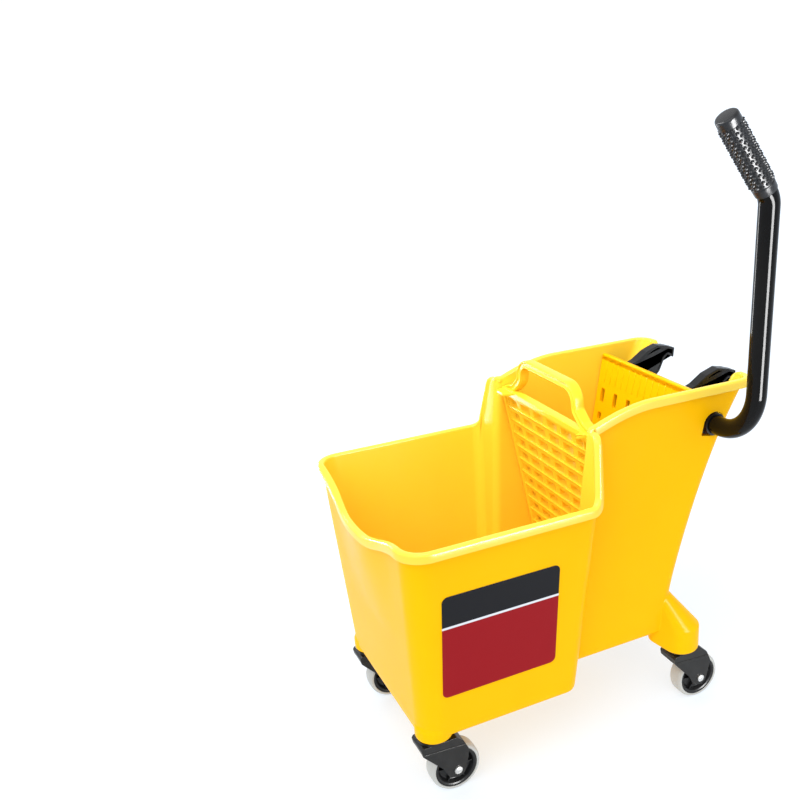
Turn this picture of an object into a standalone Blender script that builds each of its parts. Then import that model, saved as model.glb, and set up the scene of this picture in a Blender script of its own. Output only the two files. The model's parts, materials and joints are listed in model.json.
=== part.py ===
"""Mop bucket with a side-press wringer, as separate solids.

X runs from the pour end (-X) to the wringer end (+X), the lever stands on the -Y side, Z is up and the
floor is z = 0. The shape is drawn from a datum at the front wall's rim, and one empty shifts it so that
the origin is the bottom centre of the bounding box.
"""

import math

import bmesh
import bpy
from mathutils import Matrix, Vector

# Frame: the datum's place in the world
DATUM = Vector((-0.26547, 0.02002, 0.0))

# Bucket shell
WALL = 0.004
LIP_OUT = 0.0055
LIP_DROP = 0.012
FLOOR_FILLET = 0.008
FRONT_FLOOR_Z = 0.093
REAR_FLOOR_Z = 0.115
FRONT_RIM_Z = 0.374
RISER_TOP_Z = 0.453
REAR_RIM_Z = 0.477
POUR_DIP = 0.028
POUR_BULGE = 0.008
FRONT_X = ((FRONT_FLOOR_Z, 0.022), (FRONT_RIM_Z, 0.006))
FRONT_HALF = ((FRONT_FLOOR_Z, 0.136), (FRONT_RIM_Z, 0.167), (RISER_TOP_Z, 0.1515))
STEP_X = ((FRONT_FLOOR_Z, 0.245), (FRONT_RIM_Z, 0.262), (RISER_TOP_Z, 0.270))
REAR_HALF = ((REAR_FLOOR_Z, 0.107), (REAR_RIM_Z, 0.1215))
REAR_X = ((0.115, 0.412), (0.18, 0.419), (0.235, 0.431), (0.30, 0.449), (0.36, 0.469), (0.41, 0.489),
          (0.45, 0.509), (0.48, 0.526))
FRONT_CORNER_R = 0.030
SHOULDER_R = 0.018
VALLEY_R = 0.007
REAR_CORNER_R = 0.020
REAR_GAP_Z = 0.404
LIP_BEVEL = 0.003
POUR_HALF, BULGE_FOOT_Z = 0.105, 0.210
DIP_EDGE_Y, DIP_RAMP = 0.098, 0.052
RISE_LENGTH = 0.100
GAP_EDGE_Y, GAP_RAMP = 0.0935, 0.007
SHAFT_HOLE_R = 0.0158

# Caster feet and sockets
FOOT_R = 0.026
FOOT_BOTTOM_Z = 0.088
FOOT_TOP_Z = 0.128
FOOT_BEVEL = 0.003
REAR_FOOT_TAPER, REAR_FOOT_LIFT = 0.35, 0.046
REAR_FOOT_SHIFT_X, REAR_FOOT_SHIFT_Y = -0.010, 0.012
SOCKET_R = 0.0059
SOCKET_LOW_Z, SOCKET_TOP_Z = 0.080, 0.1215
FEET = (("front_near", 0.041, -0.113), ("front_far", 0.041, 0.113),
        ("rear_near", 0.428, -0.113), ("rear_far", 0.428, 0.113))

# Shaft and lever
SHAFT_X, SHAFT_Z = 0.465, 0.422
TUBE_R, TUBE_WALL = 0.0127, 0.0016
SHAFT_FAR_Y = 0.128
LEVER_Y = -0.195
LOWER_BEND_R, UPPER_BEND_R = 0.050, 0.028
UPPER_BEND_Z = 0.7103
GRIP_LEAN = math.radians(37)
GRIP_LENGTH = 0.106
GRIP_R, COLLAR_R = 0.0172, 0.0150
COLLAR_LENGTH, COLLAR_RAMP, GRIP_END = 0.008, 0.003, 0.008
CLEAR = 0.0004
BORE_R = TUBE_R + CLEAR
SPRING_R, SPRING_WIRE_R, SPRING_PITCH = 0.0158, 0.0011, 0.0034
SPRING_TURNS, SPRING_START_Y = 4, -0.0085
SPRING_TAIL = Vector((0.001, 0, 0.012))

# Press plate, hinged at its foot
PIVOT_X, PIVOT_Z = 0.386, 0.166
PLATE_LEAN = math.radians(12)
PLATE_HEIGHT = 0.3047
PLATE_FRONT, PLATE_BACK = -0.0045, 0.0005
FLANGE_BACK, FLANGE_BEVEL = 0.0055, 0.0010
PLATE_SIDE_GAP, FLANGE_DEPTH = 0.0022, 0.006
PLATE_SLOT_COLUMNS, PLATE_SLOT_PITCH, PLATE_SLOT_WIDTH = 7, 0.0330, 0.0090
PLATE_SLOT_ENDS = (0.080, 0.096, 0.124, 0.140, 0.168, 0.184, 0.2065, 0.2185, 0.2335, 0.2545)
RIB_COUNT, RIB_PITCH, RIB_THICK = 4, 0.062, 0.0036
RIB_OUTLINE = ((-0.001, 0.004), (0.007, 0.012), (0.0055, 0.150), (-0.001, 0.225))
BARREL_R, PIN_R, PIN_HALF = 0.0080, 0.0040, 0.0985
LUG_Y, LUG_WIDTH, LUG_R = 0.078, 0.012, 0.0105
LUG_GAP, LUG_GAP_R = 0.0008, 0.0125

# Screen, loop handle and drain shelf
SCREEN_TOP_X, SCREEN_TOP_Z, SCREEN_FOOT_Z = 0.274, 0.444, 0.160
SCREEN_LEAN = math.radians(10)
SCREEN_THICK = 0.011
SLOT_COLUMNS, SLOT_ROWS = 6, 12
SLOT_PITCH_Y, SLOT_PITCH_Z = 0.0366, 0.0212
SLOT_WIDTH, SLOT_HEIGHT = 0.0250, 0.0125
SCREEN_SIDE_GAP, TOP_ROW_DROP = 0.0008, 0.019
HANDLE_X, HANDLE_THICK = 0.2770, 0.0150
HANDLE_Z = SCREEN_TOP_Z + CLEAR
HANDLE_FOOT = ((-0.1000, HANDLE_Z), (-0.096, 0.450), (-0.087, 0.460), (-0.081, 0.474))
HANDLE_OUTER_R, HANDLE_INNER_R, HANDLE_TOP_Z, HANDLE_BAR = 0.022, 0.017, 0.4965, 0.011
HANDLE_INNER_HALF = 0.064
LEDGE_THICK = 0.003
LEDGE = ((0.262, 0.070), (0.2585, 0.076), (0.2585, 0.104), (0.262, 0.110), (0.280, 0.112), (0.280, 0.066))
SHELF_LOW_Z, SHELF_THICK, SHELF_SIDE_GAP = 0.1583, 0.0040, 0.0035
SHELF_FRONT_X = 0.3357
SHELF_LINES_X = (SHELF_FRONT_X, 0.342, 0.3485, 0.3555, 0.362, 0.370)
SHELF_SLOTS, SHELF_SLOT_PITCH, SHELF_SLOT_WIDTH = 6, 0.0300, 0.0200
LUG_LOW_Z, LUG_FRONT_Z = 0.1545, 0.1625

# Cam arms
ARM_Y, ARM_THICK, ARM_HUB_R = 0.068, 0.015, 0.0195
ARM_OUTLINE = ((-0.0165, 0.0095), (-0.0165, 0.0200), (-0.0150, 0.0310), (-0.0120, 0.0340), (0.0030, 0.0395),
               (0.0210, 0.0510), (0.0400, 0.0575), (0.0440, 0.0575), (0.0560, 0.0545), (0.0715, 0.0495),
               (0.0695, 0.0350), (0.0590, 0.0405), (0.0535, 0.0365), (0.0495, 0.0280), (0.0450, 0.0180),
               (0.0330, 0.0060), (0.0195, 0.0))
SCREW_TURN = math.radians(150)
SCREW_R, SCREW_HEAD_R, SCREW_HOLE_R = 0.0024, 0.0046, 0.0029
SCREW_HEAD_LOW, SCREW_HEAD_TOP = 0.0201, 0.0236

# Casters
TRAIL = 0.026
WHEEL_R, WHEEL_WIDTH = 0.0343, 0.024
HUB_R = 0.0290
FORK_TOP_Z, FORK_UNDER_Z = 0.0838, 0.0735
LEG_INSIDE, LEG_THICK = 0.0135, 0.0035
HUB_BORE_R, HUB_BOSS_R, HUB_BOSS_HALF, HUB_RIM_HALF, HUB_WEB = 0.0034, 0.0075, 0.0122, 0.0112, 0.0040
AXLE_R, AXLE_HEAD_R, AXLE_HEAD, AXLE_CLEAR = 0.0030, 0.0052, 0.0024, 0.0004
STEM_R, STEM_FLANGE_R, STEM_PIN_R = 0.0055, 0.0200, 0.0040
STEM_LOW_Z, FLANGE_LOW_Z, FLANGE_TOP_Z, STEM_TOP_Z = 0.0748, 0.0844, 0.0874, 0.1208
LEG_TIP_R = 0.0110
FORK_BACK = ((-0.0190, FORK_TOP_Z), (-0.0215, 0.0800), (-0.0200, 0.0720), (0.0060, 0.0430), (0.0145, 0.0260))
FORK_FRONT = ((0.0395, 0.0420), (0.0430, 0.0600), (0.0355, 0.0765), (0.0270, FORK_TOP_Z))

# Bushings, end cap and label
BUSH_FLANGE_R, BUSH_R = 0.0175, 0.0154
BUSH_INNER_Y, BUSH_STEP_Y, BUSH_OUTER_Y = 0.1075, 0.1100, 0.1225
CAP_R, CAP_LOW_Y, CAP_FLOOR_Y, CAP_TOP_Y = 0.0175, 0.1235, 0.1285, 0.1315
LABEL_X, LABEL_Z, LABEL_CORNER = (0.047, 0.204), (0.159, 0.307), 0.008
LABEL_GAP, LABEL_FACE = 0.0004, 0.0010

YELLOW = (0.92, 0.50, 0.012)
BLACK = (0.012, 0.012, 0.013)


def clear_scene():
    """Removes whatever the file opened with."""
    for obj in list(bpy.data.objects):
        bpy.data.objects.remove(obj, do_unlink=True)


def material(name, colour, roughness, metallic=0.0):
    """A Principled material with one flat colour."""
    mat = bpy.data.materials.new(name)
    mat.use_nodes = True
    shader = mat.node_tree.nodes["Principled BSDF"]
    shader.inputs["Base Color"].default_value = (*colour, 1.0)
    shader.inputs["Roughness"].default_value = roughness
    shader.inputs["Metallic"].default_value = metallic
    return mat


def empty(name, location, parent=None):
    """A guide that marks a joint's axis."""
    obj = bpy.data.objects.new(name, None)
    obj.location = location
    obj.parent = parent
    bpy.context.scene.collection.objects.link(obj)
    return obj


def add_object(name, bm, mat, parent, location=(0, 0, 0), smooth=0.0):
    """Turns a bmesh into an object; smooth is the angle, in degrees, under which edges are shaded smooth."""
    bmesh.ops.recalc_face_normals(bm, faces=bm.faces)
    mesh = bpy.data.meshes.new(name)
    bm.to_mesh(mesh)
    bm.free()
    if smooth:
        mesh.shade_smooth()
        mesh.set_sharp_from_angle(angle=math.radians(smooth))
    mesh.materials.append(mat)
    obj = bpy.data.objects.new(name, mesh)
    obj.parent = parent
    obj.location = location
    bpy.context.scene.collection.objects.link(obj)
    return obj


def cut_with(target, tool, operation="DIFFERENCE"):
    """Adds an exact Boolean and hides its tool."""
    tool.hide_render = True
    tool.display_type = "WIRE"
    mod = target.modifiers.new(tool.name, "BOOLEAN")
    mod.object = tool
    mod.operation = operation
    mod.solver = "EXACT"


def lerp_table(table, z):
    """Linear interpolation in a table of (z, value), held past its ends."""
    if z <= table[0][0]:
        return table[0][1]
    for (z0, v0), (z1, v1) in zip(table, table[1:]):
        if z <= z1:
            return v0 + (v1 - v0) * (z - z0) / (z1 - z0)
    return table[-1][1]


def grid_faces(bm, rings, closed_rings=True, closed_stack=False):
    """Joins neighbouring rings of equal length with quads."""
    stacks = len(rings) if closed_stack else len(rings) - 1
    for j in range(stacks):
        low, high = rings[j], rings[(j + 1) % len(rings)]
        count = len(low) if closed_rings else len(low) - 1
        for i in range(count):
            k = (i + 1) % len(low)
            bm.faces.new((low[i], low[k], high[k], high[i]))


def turned(profile, steps=32, axis="Z"):
    """A body of revolution from (radius, height) points; a point of radius 0 closes an end."""
    bm = bmesh.new()
    rings = []
    for radius, height in profile:
        if radius == 0:
            rings.append([bm.verts.new((0, 0, height))])
            continue
        rings.append([bm.verts.new((radius * math.cos(2 * math.pi * i / steps),
                                    radius * math.sin(2 * math.pi * i / steps), height)) for i in range(steps)])
    pairs = list(zip(rings, rings[1:]))
    if len(rings[0]) > 1 and len(rings[-1]) > 1:
        pairs.append((rings[-1], rings[0]))
    for low, high in pairs:
        if len(low) == len(high) == 1:
            continue
        for i in range(steps):
            k = (i + 1) % steps
            if len(low) == 1:
                bm.faces.new((low[0], high[k], high[i]))
            elif len(high) == 1:
                bm.faces.new((low[i], low[k], high[0]))
            else:
                bm.faces.new((low[i], low[k], high[k], high[i]))
    if axis == "Y":
        bmesh.ops.rotate(bm, verts=bm.verts, cent=(0, 0, 0), matrix=Matrix.Rotation(-math.pi / 2, 3, "X"))
    return bm


def prism(points, low, high, plane="XZ"):
    """A closed polygon pushed along Y (plane XZ) or along X (plane YZ)."""
    bm = bmesh.new()
    place = (lambda a, b, d: (a, d, b)) if plane == "XZ" else (lambda a, b, d: (d, a, b))
    rings = [[bm.verts.new(place(a, b, d)) for a, b in points] for d in (low, high)]
    grid_faces(bm, rings)
    bm.faces.new(rings[0])
    bm.faces.new(rings[1])
    return bm


def arc(centre, radius, start, end, steps):
    """Points on an arc, in degrees, both ends included."""
    angles = [math.radians(start + (end - start) * i / steps) for i in range(steps + 1)]
    return [(centre[0] + radius * math.cos(a), centre[1] + radius * math.sin(a)) for a in angles]


def bored_panel(place, across, up, is_hole):
    """A flat panel with rectangular openings: place(y, s, depth) gives a point, depth is 0 or 1."""
    bm = bmesh.new()
    verts = {}

    def vert(i, j, d):
        if (i, j, d) not in verts:
            verts[i, j, d] = bm.verts.new(place(across[i], up[j], d))
        return verts[i, j, d]

    columns, rows = len(across) - 1, len(up) - 1
    solid = {(i, j) for i in range(columns) for j in range(rows) if not is_hole(i, j)}
    for i, j in solid:
        for d in (0, 1):
            bm.faces.new((vert(i, j, d), vert(i + 1, j, d), vert(i + 1, j + 1, d), vert(i, j + 1, d)))
        sides = (((i, j - 1), (i, j), (i + 1, j)), ((i, j + 1), (i, j + 1), (i + 1, j + 1)),
                 ((i - 1, j), (i, j), (i, j + 1)), ((i + 1, j), (i + 1, j), (i + 1, j + 1)))
        for neighbour, a, b in sides:
            if neighbour not in solid:
                bm.faces.new((vert(*a, 0), vert(*b, 0), vert(*b, 1), vert(*a, 1)))
    return bm


def slot_lines(count, pitch, width, end):
    """Grid lines of a row of slots centred on zero, between -end and +end."""
    centres = [(i - (count - 1) / 2) * pitch for i in range(count)]
    return [-end] + [c + side * width / 2 for c in centres for side in (-1, 1)] + [end]


# --- Bucket shell -------------------------------------------------------------------------------------

FRONT_STEPS, CORNER_STEPS, SIDE_STEPS, REAR_SIDE_STEPS = 8, 4, 3, 5
REAR_WALL_Y = (0.0950, 0.0920, 0.0900, 0.0880, 0.0860, 0.0)


def half_outline(z, inset):
    """The near half of the shell's plan at height z, from the front centre to the rear centre, as (x, half)."""
    front_x = lerp_table(FRONT_X, z) + inset
    front_half = lerp_table(FRONT_HALF, z) - inset
    step_x = lerp_table(STEP_X, z) - inset
    rear_half = lerp_table(REAR_HALF, z) - inset
    rear_x = lerp_table(REAR_X, z) - inset
    corner, shoulder = FRONT_CORNER_R - inset, SHOULDER_R - inset
    valley, rear_corner = VALLEY_R + inset, REAR_CORNER_R - inset
    reach = max(0.0, min(1.0, (z - BULGE_FOOT_Z) / (FRONT_RIM_Z - POUR_DIP - BULGE_FOOT_Z)))
    points = []
    flat = front_half - corner
    for i in range(FRONT_STEPS):
        y = flat * i / FRONT_STEPS
        bulge = POUR_BULGE * reach * max(0.0, math.cos(math.pi / 2 * min(1.0, y / POUR_HALF))) ** 2
        points.append((front_x - bulge, y))
    points += arc((front_x + corner, flat), corner, 180, 90, CORNER_STEPS)
    for i in range(1, SIDE_STEPS):
        start, end = front_x + corner, step_x - shoulder
        points.append((start + (end - start) * i / SIDE_STEPS, front_half))
    points += arc((step_x - shoulder, front_half - shoulder), shoulder, 90, 0, CORNER_STEPS)
    points += arc((step_x + valley, rear_half + valley), valley, 180, 270, CORNER_STEPS)
    for i in range(1, REAR_SIDE_STEPS):
        start, end = step_x + valley, rear_x - rear_corner
        points.append((start + (end - start) * i / REAR_SIDE_STEPS, rear_half))
    points += arc((rear_x - rear_corner, rear_half - rear_corner), rear_corner, 90, 0, CORNER_STEPS)
    points += [(rear_x, min(y, rear_half - rear_corner - 0.0005)) for y in REAR_WALL_Y]
    return points


SHOULDER_START = FRONT_STEPS + CORNER_STEPS + SIDE_STEPS
SHOULDER_END = SHOULDER_START + 2 * (CORNER_STEPS + 1) - 1
REAR_WALL_START = SHOULDER_END + REAR_SIDE_STEPS + CORNER_STEPS + 1
STATIONS = REAR_WALL_START + len(REAR_WALL_Y)


def smooth_step(t):
    t = max(0.0, min(1.0, t))
    return t * t * (3 - 2 * t)


def rim_height(i):
    """Height of the rim's top at station i."""
    if i < FRONT_STEPS + CORNER_STEPS // 2:
        y = half_outline(FRONT_RIM_Z, 0)[i][1]
        return FRONT_RIM_Z - POUR_DIP * (1 - smooth_step((y - DIP_EDGE_Y) / DIP_RAMP))
    if i < SHOULDER_START:
        return FRONT_RIM_Z
    if i <= SHOULDER_START + CORNER_STEPS:
        t = (i - SHOULDER_START) / CORNER_STEPS
        return FRONT_RIM_Z + (RISER_TOP_Z - FRONT_RIM_Z) * smooth_step(t)
    if i < REAR_WALL_START:
        x = half_outline(REAR_RIM_Z, 0)[i][0]
        t = min(1.0, (x - STEP_X[-1][1]) / RISE_LENGTH)
        return RISER_TOP_Z + (REAR_RIM_Z - RISER_TOP_Z) * math.sin(math.pi / 2 * t)
    drop = smooth_step((GAP_EDGE_Y - REAR_WALL_Y[i - REAR_WALL_START]) / GAP_RAMP)
    return REAR_RIM_Z + (REAR_GAP_Z - REAR_RIM_Z) * drop


def floor_height(i):
    """Height of the underside at station i: the wringer end's floor is a step higher."""
    t = (i - SHOULDER_START) / (SHOULDER_END - SHOULDER_START)
    return FRONT_FLOOR_Z + (REAR_FLOOR_Z - FRONT_FLOOR_Z) * smooth_step(t)


def shell_rows(i):
    """(inset, height) of each row at station i, from the underside, over the rim, to the inside floor."""
    top, low = rim_height(i), floor_height(i)
    rows = [(FLOOR_FILLET, low), (FLOOR_FILLET * 0.3, low + FLOOR_FILLET * 0.3), (0, low + FLOOR_FILLET)]
    start, end = low + FLOOR_FILLET, top - LIP_DROP
    rows += [(0, start + (end - start) * k / 5) for k in range(1, 6)]
    rows += [(-LIP_OUT, end + 0.2 * LIP_BEVEL), (-LIP_OUT, top - LIP_BEVEL),
             (-LIP_OUT + 0.8 * LIP_BEVEL, top - 0.1 * LIP_BEVEL),
             (WALL - 0.5 * LIP_BEVEL, top), (WALL, top - 0.5 * LIP_BEVEL)]
    inside_low = low + WALL + FLOOR_FILLET
    rows += [(WALL, top + (inside_low - top) * k / 5) for k in range(1, 6)]
    rows += [(WALL + FLOOR_FILLET * 0.3, low + WALL + FLOOR_FILLET * 0.3), (WALL + FLOOR_FILLET, low + WALL)]
    return rows


def build_shell(mat, parent):
    """The one-piece bucket, its caster feet, and the holes for the shaft and the caster stems."""
    bm = bmesh.new()
    columns = []
    for i in range(STATIONS):
        near = []
        for inset, z in shell_rows(i):
            x, y = half_outline(z, inset)[i]
            near.append((x, y, z))
        columns.append(near)
    rows = len(columns[0])
    order = [(i, -1) for i in range(STATIONS)] + [(i, 1) for i in range(STATIONS - 2, 0, -1)]
    rings = [[bm.verts.new((columns[i][j][0], side * columns[i][j][1], columns[i][j][2])) for i, side in order]
             for j in range(rows)]
    grid_faces(bm, rings)
    for ring in (rings[0], rings[-1]):
        count = len(ring)
        front = [ring[i] for i in range(-SHOULDER_START, SHOULDER_START + 1)]
        rear = [ring[i] for i in range(SHOULDER_END, count - SHOULDER_END + 1)]
        bm.faces.new(front)
        bm.faces.new(rear)
        for i in range(SHOULDER_START, SHOULDER_END):
            bm.faces.new((ring[i], ring[i + 1], ring[count - i - 1], ring[count - i]))
    shell = add_object("bucket_shell", bm, mat, parent, smooth=35)
    for name, x, y in FEET:
        low, high, face = FOOT_BOTTOM_Z, FOOT_TOP_Z, FOOT_R - FOOT_BEVEL
        foot = turned([(0, low), (face, low), (FOOT_R, low + FOOT_BEVEL), (FOOT_R, high - FOOT_BEVEL),
                       (face, high), (0, high)], 24)
        if name.startswith("rear"):
            for vert in foot.verts:
                if vert.co.z > high - FOOT_BEVEL / 2:
                    vert.co = Vector((vert.co.x * REAR_FOOT_TAPER + REAR_FOOT_SHIFT_X,
                                      vert.co.y * REAR_FOOT_TAPER - math.copysign(REAR_FOOT_SHIFT_Y, y),
                                      vert.co.z + REAR_FOOT_LIFT))
        cut_with(shell, add_object("foot_" + name, foot, mat, parent, (x, y, 0)), "UNION")
    for name, x, y in FEET:
        low, high = SOCKET_LOW_Z, SOCKET_TOP_Z
        socket = turned([(0, low), (SOCKET_R, low), (SOCKET_R, high), (0, high)], 12)
        cut_with(shell, add_object("socket_" + name, socket, mat, parent, (x, y, 0)))
    reach = FRONT_HALF[1][1]
    bore = turned([(0, -reach), (SHAFT_HOLE_R, -reach), (SHAFT_HOLE_R, reach), (0, reach)], 24, "Y")
    cut_with(shell, add_object("shaft_bore", bore, mat, parent, (SHAFT_X, 0, SHAFT_Z)))
    return shell


# --- Screen and press plate ---------------------------------------------------------------------------

def inside_half(z):
    """Half the width between the wringer section's walls."""
    return lerp_table(REAR_HALF, z) - WALL


def flat_plate(points, low, high):
    """A closed polygon in plan, pushed upwards."""
    bm = bmesh.new()
    rings = [[bm.verts.new((x, y, z)) for x, y in points] for z in (low, high)]
    grid_faces(bm, rings)
    bm.faces.new(rings[0])
    bm.faces.new(rings[1])
    return bm


def build_screen(mat, parent):
    """The leaning perforated screen."""
    height = (SCREEN_TOP_Z - SCREEN_FOOT_Z) / math.cos(SCREEN_LEAN)
    top_half = inside_half(SCREEN_TOP_Z) - SCREEN_SIDE_GAP
    across = slot_lines(SLOT_COLUMNS, SLOT_PITCH_Y, SLOT_WIDTH, top_half)
    up = [0.0]
    for j in range(SLOT_ROWS):
        centre = height - TOP_ROW_DROP - (SLOT_ROWS - 1 - j) * SLOT_PITCH_Z
        up += [centre - SLOT_HEIGHT / 2, centre + SLOT_HEIGHT / 2]
    up.append(height)

    def place(y, s, depth):
        z = SCREEN_FOOT_Z + s * math.cos(SCREEN_LEAN)
        x = SCREEN_TOP_X + (SCREEN_TOP_Z - z) * math.tan(SCREEN_LEAN) + depth * SCREEN_THICK
        return (x, y * (inside_half(z) - SCREEN_SIDE_GAP) / top_half, z)

    panel = bored_panel(place, across, up, lambda i, j: i % 2 == 1 and j % 2 == 1)
    return add_object("wringer_screen", panel, mat, parent)


def build_loop_handle(mat, parent):
    """The arch on the screen's top edge, with a ledge at each foot."""
    outer = list(HANDLE_FOOT)
    centre = (-HANDLE_FOOT[-1][0] - HANDLE_OUTER_R, HANDLE_TOP_Z - HANDLE_OUTER_R)
    outer += [(-y, z) for y, z in arc(centre, HANDLE_OUTER_R, 0, 90, 6)][1:]
    outer += [(-y, z) for y, z in reversed(outer)]
    centre = (HANDLE_INNER_HALF - HANDLE_INNER_R, HANDLE_TOP_Z - HANDLE_BAR - HANDLE_INNER_R)
    inner = [(HANDLE_INNER_HALF, HANDLE_Z)] + arc(centre, HANDLE_INNER_R, 0, 90, 5)
    inner += [(-y, z) for y, z in reversed(inner)]
    arch = prism(outer + inner, HANDLE_X, HANDLE_X + HANDLE_THICK, "YZ")
    handle = add_object("loop_handle", arch, mat, parent)
    for side, name in ((-1, "near"), (1, "far")):
        ledge = flat_plate([(x, side * y) for x, y in LEDGE], HANDLE_Z, HANDLE_Z + LEDGE_THICK)
        cut_with(handle, add_object("ledge_" + name, ledge, mat, parent), "UNION")
    return handle


def build_drain_shelf(mat, parent):
    """The slotted shelf behind the screen's foot, with the two lugs that hold the plate's pivot pin."""
    shelf_half = inside_half(SCREEN_FOOT_Z) - SHELF_SIDE_GAP
    lines = slot_lines(SHELF_SLOTS, SHELF_SLOT_PITCH, SHELF_SLOT_WIDTH, shelf_half)

    def place(y, x, depth):
        return (x, y, SHELF_LOW_Z + depth * SHELF_THICK)

    panel = bored_panel(place, lines, SHELF_LINES_X, lambda i, j: i % 2 == 1 and j in (1, 3))
    shelf = add_object("drain_shelf", panel, mat, parent)
    lug = [(SHELF_FRONT_X, LUG_LOW_Z), (PIVOT_X, LUG_LOW_Z)] + arc((PIVOT_X, PIVOT_Z), LUG_R, -90, 90, 8)[1:]
    lug += [(0.376, 0.1765), (0.366, LUG_FRONT_Z), (SHELF_FRONT_X, LUG_FRONT_Z)]
    for side, name in ((-1, "near"), (1, "far")):
        low = side * LUG_Y - LUG_WIDTH / 2
        cut_with(shelf, add_object("lug_" + name, prism(lug, low, low + LUG_WIDTH), mat, parent), "UNION")
    radius = PIN_R + CLEAR
    bore = turned([(0, -PIN_HALF), (radius, -PIN_HALF), (radius, PIN_HALF), (0, PIN_HALF)], 16, "Y")
    cut_with(shelf, add_object("lug_pin_bore", bore, mat, parent, (PIVOT_X, 0, PIVOT_Z)))
    return shelf


def build_plate(mat, pivot):
    """The slotted press plate; its own frame stands on the pivot with the plate upright, then leans back."""
    def half_at(s):
        return inside_half(PIVOT_Z + s * math.cos(PLATE_LEAN)) - PLATE_SIDE_GAP

    across = slot_lines(PLATE_SLOT_COLUMNS, PLATE_SLOT_PITCH, PLATE_SLOT_WIDTH, half_at(PLATE_HEIGHT))
    flange_low = PLATE_HEIGHT - FLANGE_DEPTH
    up = [0.0, *PLATE_SLOT_ENDS, flange_low - 0.1 * FLANGE_DEPTH, flange_low, PLATE_HEIGHT]

    def place(y, s, depth):
        if s == PLATE_HEIGHT:
            faces = (PLATE_FRONT + FLANGE_BEVEL, FLANGE_BACK - FLANGE_BEVEL)
        else:
            faces = (PLATE_FRONT, FLANGE_BACK if s >= flange_low else PLATE_BACK)
        return (faces[depth], y * half_at(s) / half_at(PLATE_HEIGHT), s)

    panel = bored_panel(place, across, up, lambda i, j: i % 2 == 1 and j % 2 == 1 and j < len(PLATE_SLOT_ENDS))
    plate = add_object("press_plate", panel, mat, pivot)
    plate.rotation_euler = (0, PLATE_LEAN, 0)
    barrel_half = half_at(0) - 0.001
    barrel = turned([(0, -barrel_half), (BARREL_R, -barrel_half), (BARREL_R, barrel_half), (0, barrel_half)],
                    18, "Y")
    cut_with(plate, add_object("plate_barrel", barrel, mat, plate), "UNION")
    for k in range(RIB_COUNT):
        y = (k - (RIB_COUNT - 1) / 2) * RIB_PITCH
        rib = prism(RIB_OUTLINE, y - RIB_THICK / 2, y + RIB_THICK / 2)
        cut_with(plate, add_object("plate_rib_%d" % k, rib, mat, plate), "UNION")
    half = LUG_WIDTH / 2 + LUG_GAP
    for side, name in ((-1, "near"), (1, "far")):
        gap = turned([(0, -half), (LUG_GAP_R, -half), (LUG_GAP_R, half), (0, half)], 16, "Y")
        cut_with(plate, add_object("plate_gap_" + name, gap, mat, plate, (0, side * LUG_Y, 0)))
    radius, reach = PIN_R + CLEAR, 1.2 * PIN_HALF
    bore = turned([(0, -reach), (radius, -reach), (radius, reach), (0, reach)], 16, "Y")
    cut_with(plate, add_object("plate_pin_bore", bore, mat, plate))
    return plate


# --- Lever, shaft and cam arms ------------------------------------------------------------------------

def lever_path():
    """Centre line of the bent tube from the far end of the shaft to the grip's top, from the shaft's axis."""
    path = [Vector((0, y, 0)) for y in (SHAFT_FAR_Y, 0.060, 0.0, -0.060, -0.110)]
    centre = (LEVER_Y + LOWER_BEND_R, LOWER_BEND_R)
    for y, z in arc(centre, LOWER_BEND_R, 270, 180, 7):
        path.append(Vector((0, y, z)))
    straight_top = UPPER_BEND_Z - SHAFT_Z
    path.append(Vector((0, LEVER_Y, (LOWER_BEND_R + straight_top) / 2)))
    for a in range(5):
        t = GRIP_LEAN * a / 4
        height = straight_top + UPPER_BEND_R * math.sin(t)
        path.append(Vector((-UPPER_BEND_R * (1 - math.cos(t)), LEVER_Y, height)))
    along = Vector((-math.sin(GRIP_LEAN), 0, math.cos(GRIP_LEAN)))
    path.append(path[-1] + along * (GRIP_LENGTH - 0.010))
    return path, along


def sweep_rings(bm, path, radius, steps):
    """Circles of one radius, square to the path, without twist."""
    rings, side = [], Vector((1, 0, 0))
    for i, point in enumerate(path):
        before = path[max(i - 1, 0)]
        after = path[min(i + 1, len(path) - 1)]
        tangent = (after - before).normalized()
        side = (side - tangent * side.dot(tangent)).normalized()
        up = tangent.cross(side)
        rings.append([bm.verts.new(point + side * radius * math.cos(2 * math.pi * k / steps)
                                   + up * radius * math.sin(2 * math.pi * k / steps)) for k in range(steps)])
    return rings


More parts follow.
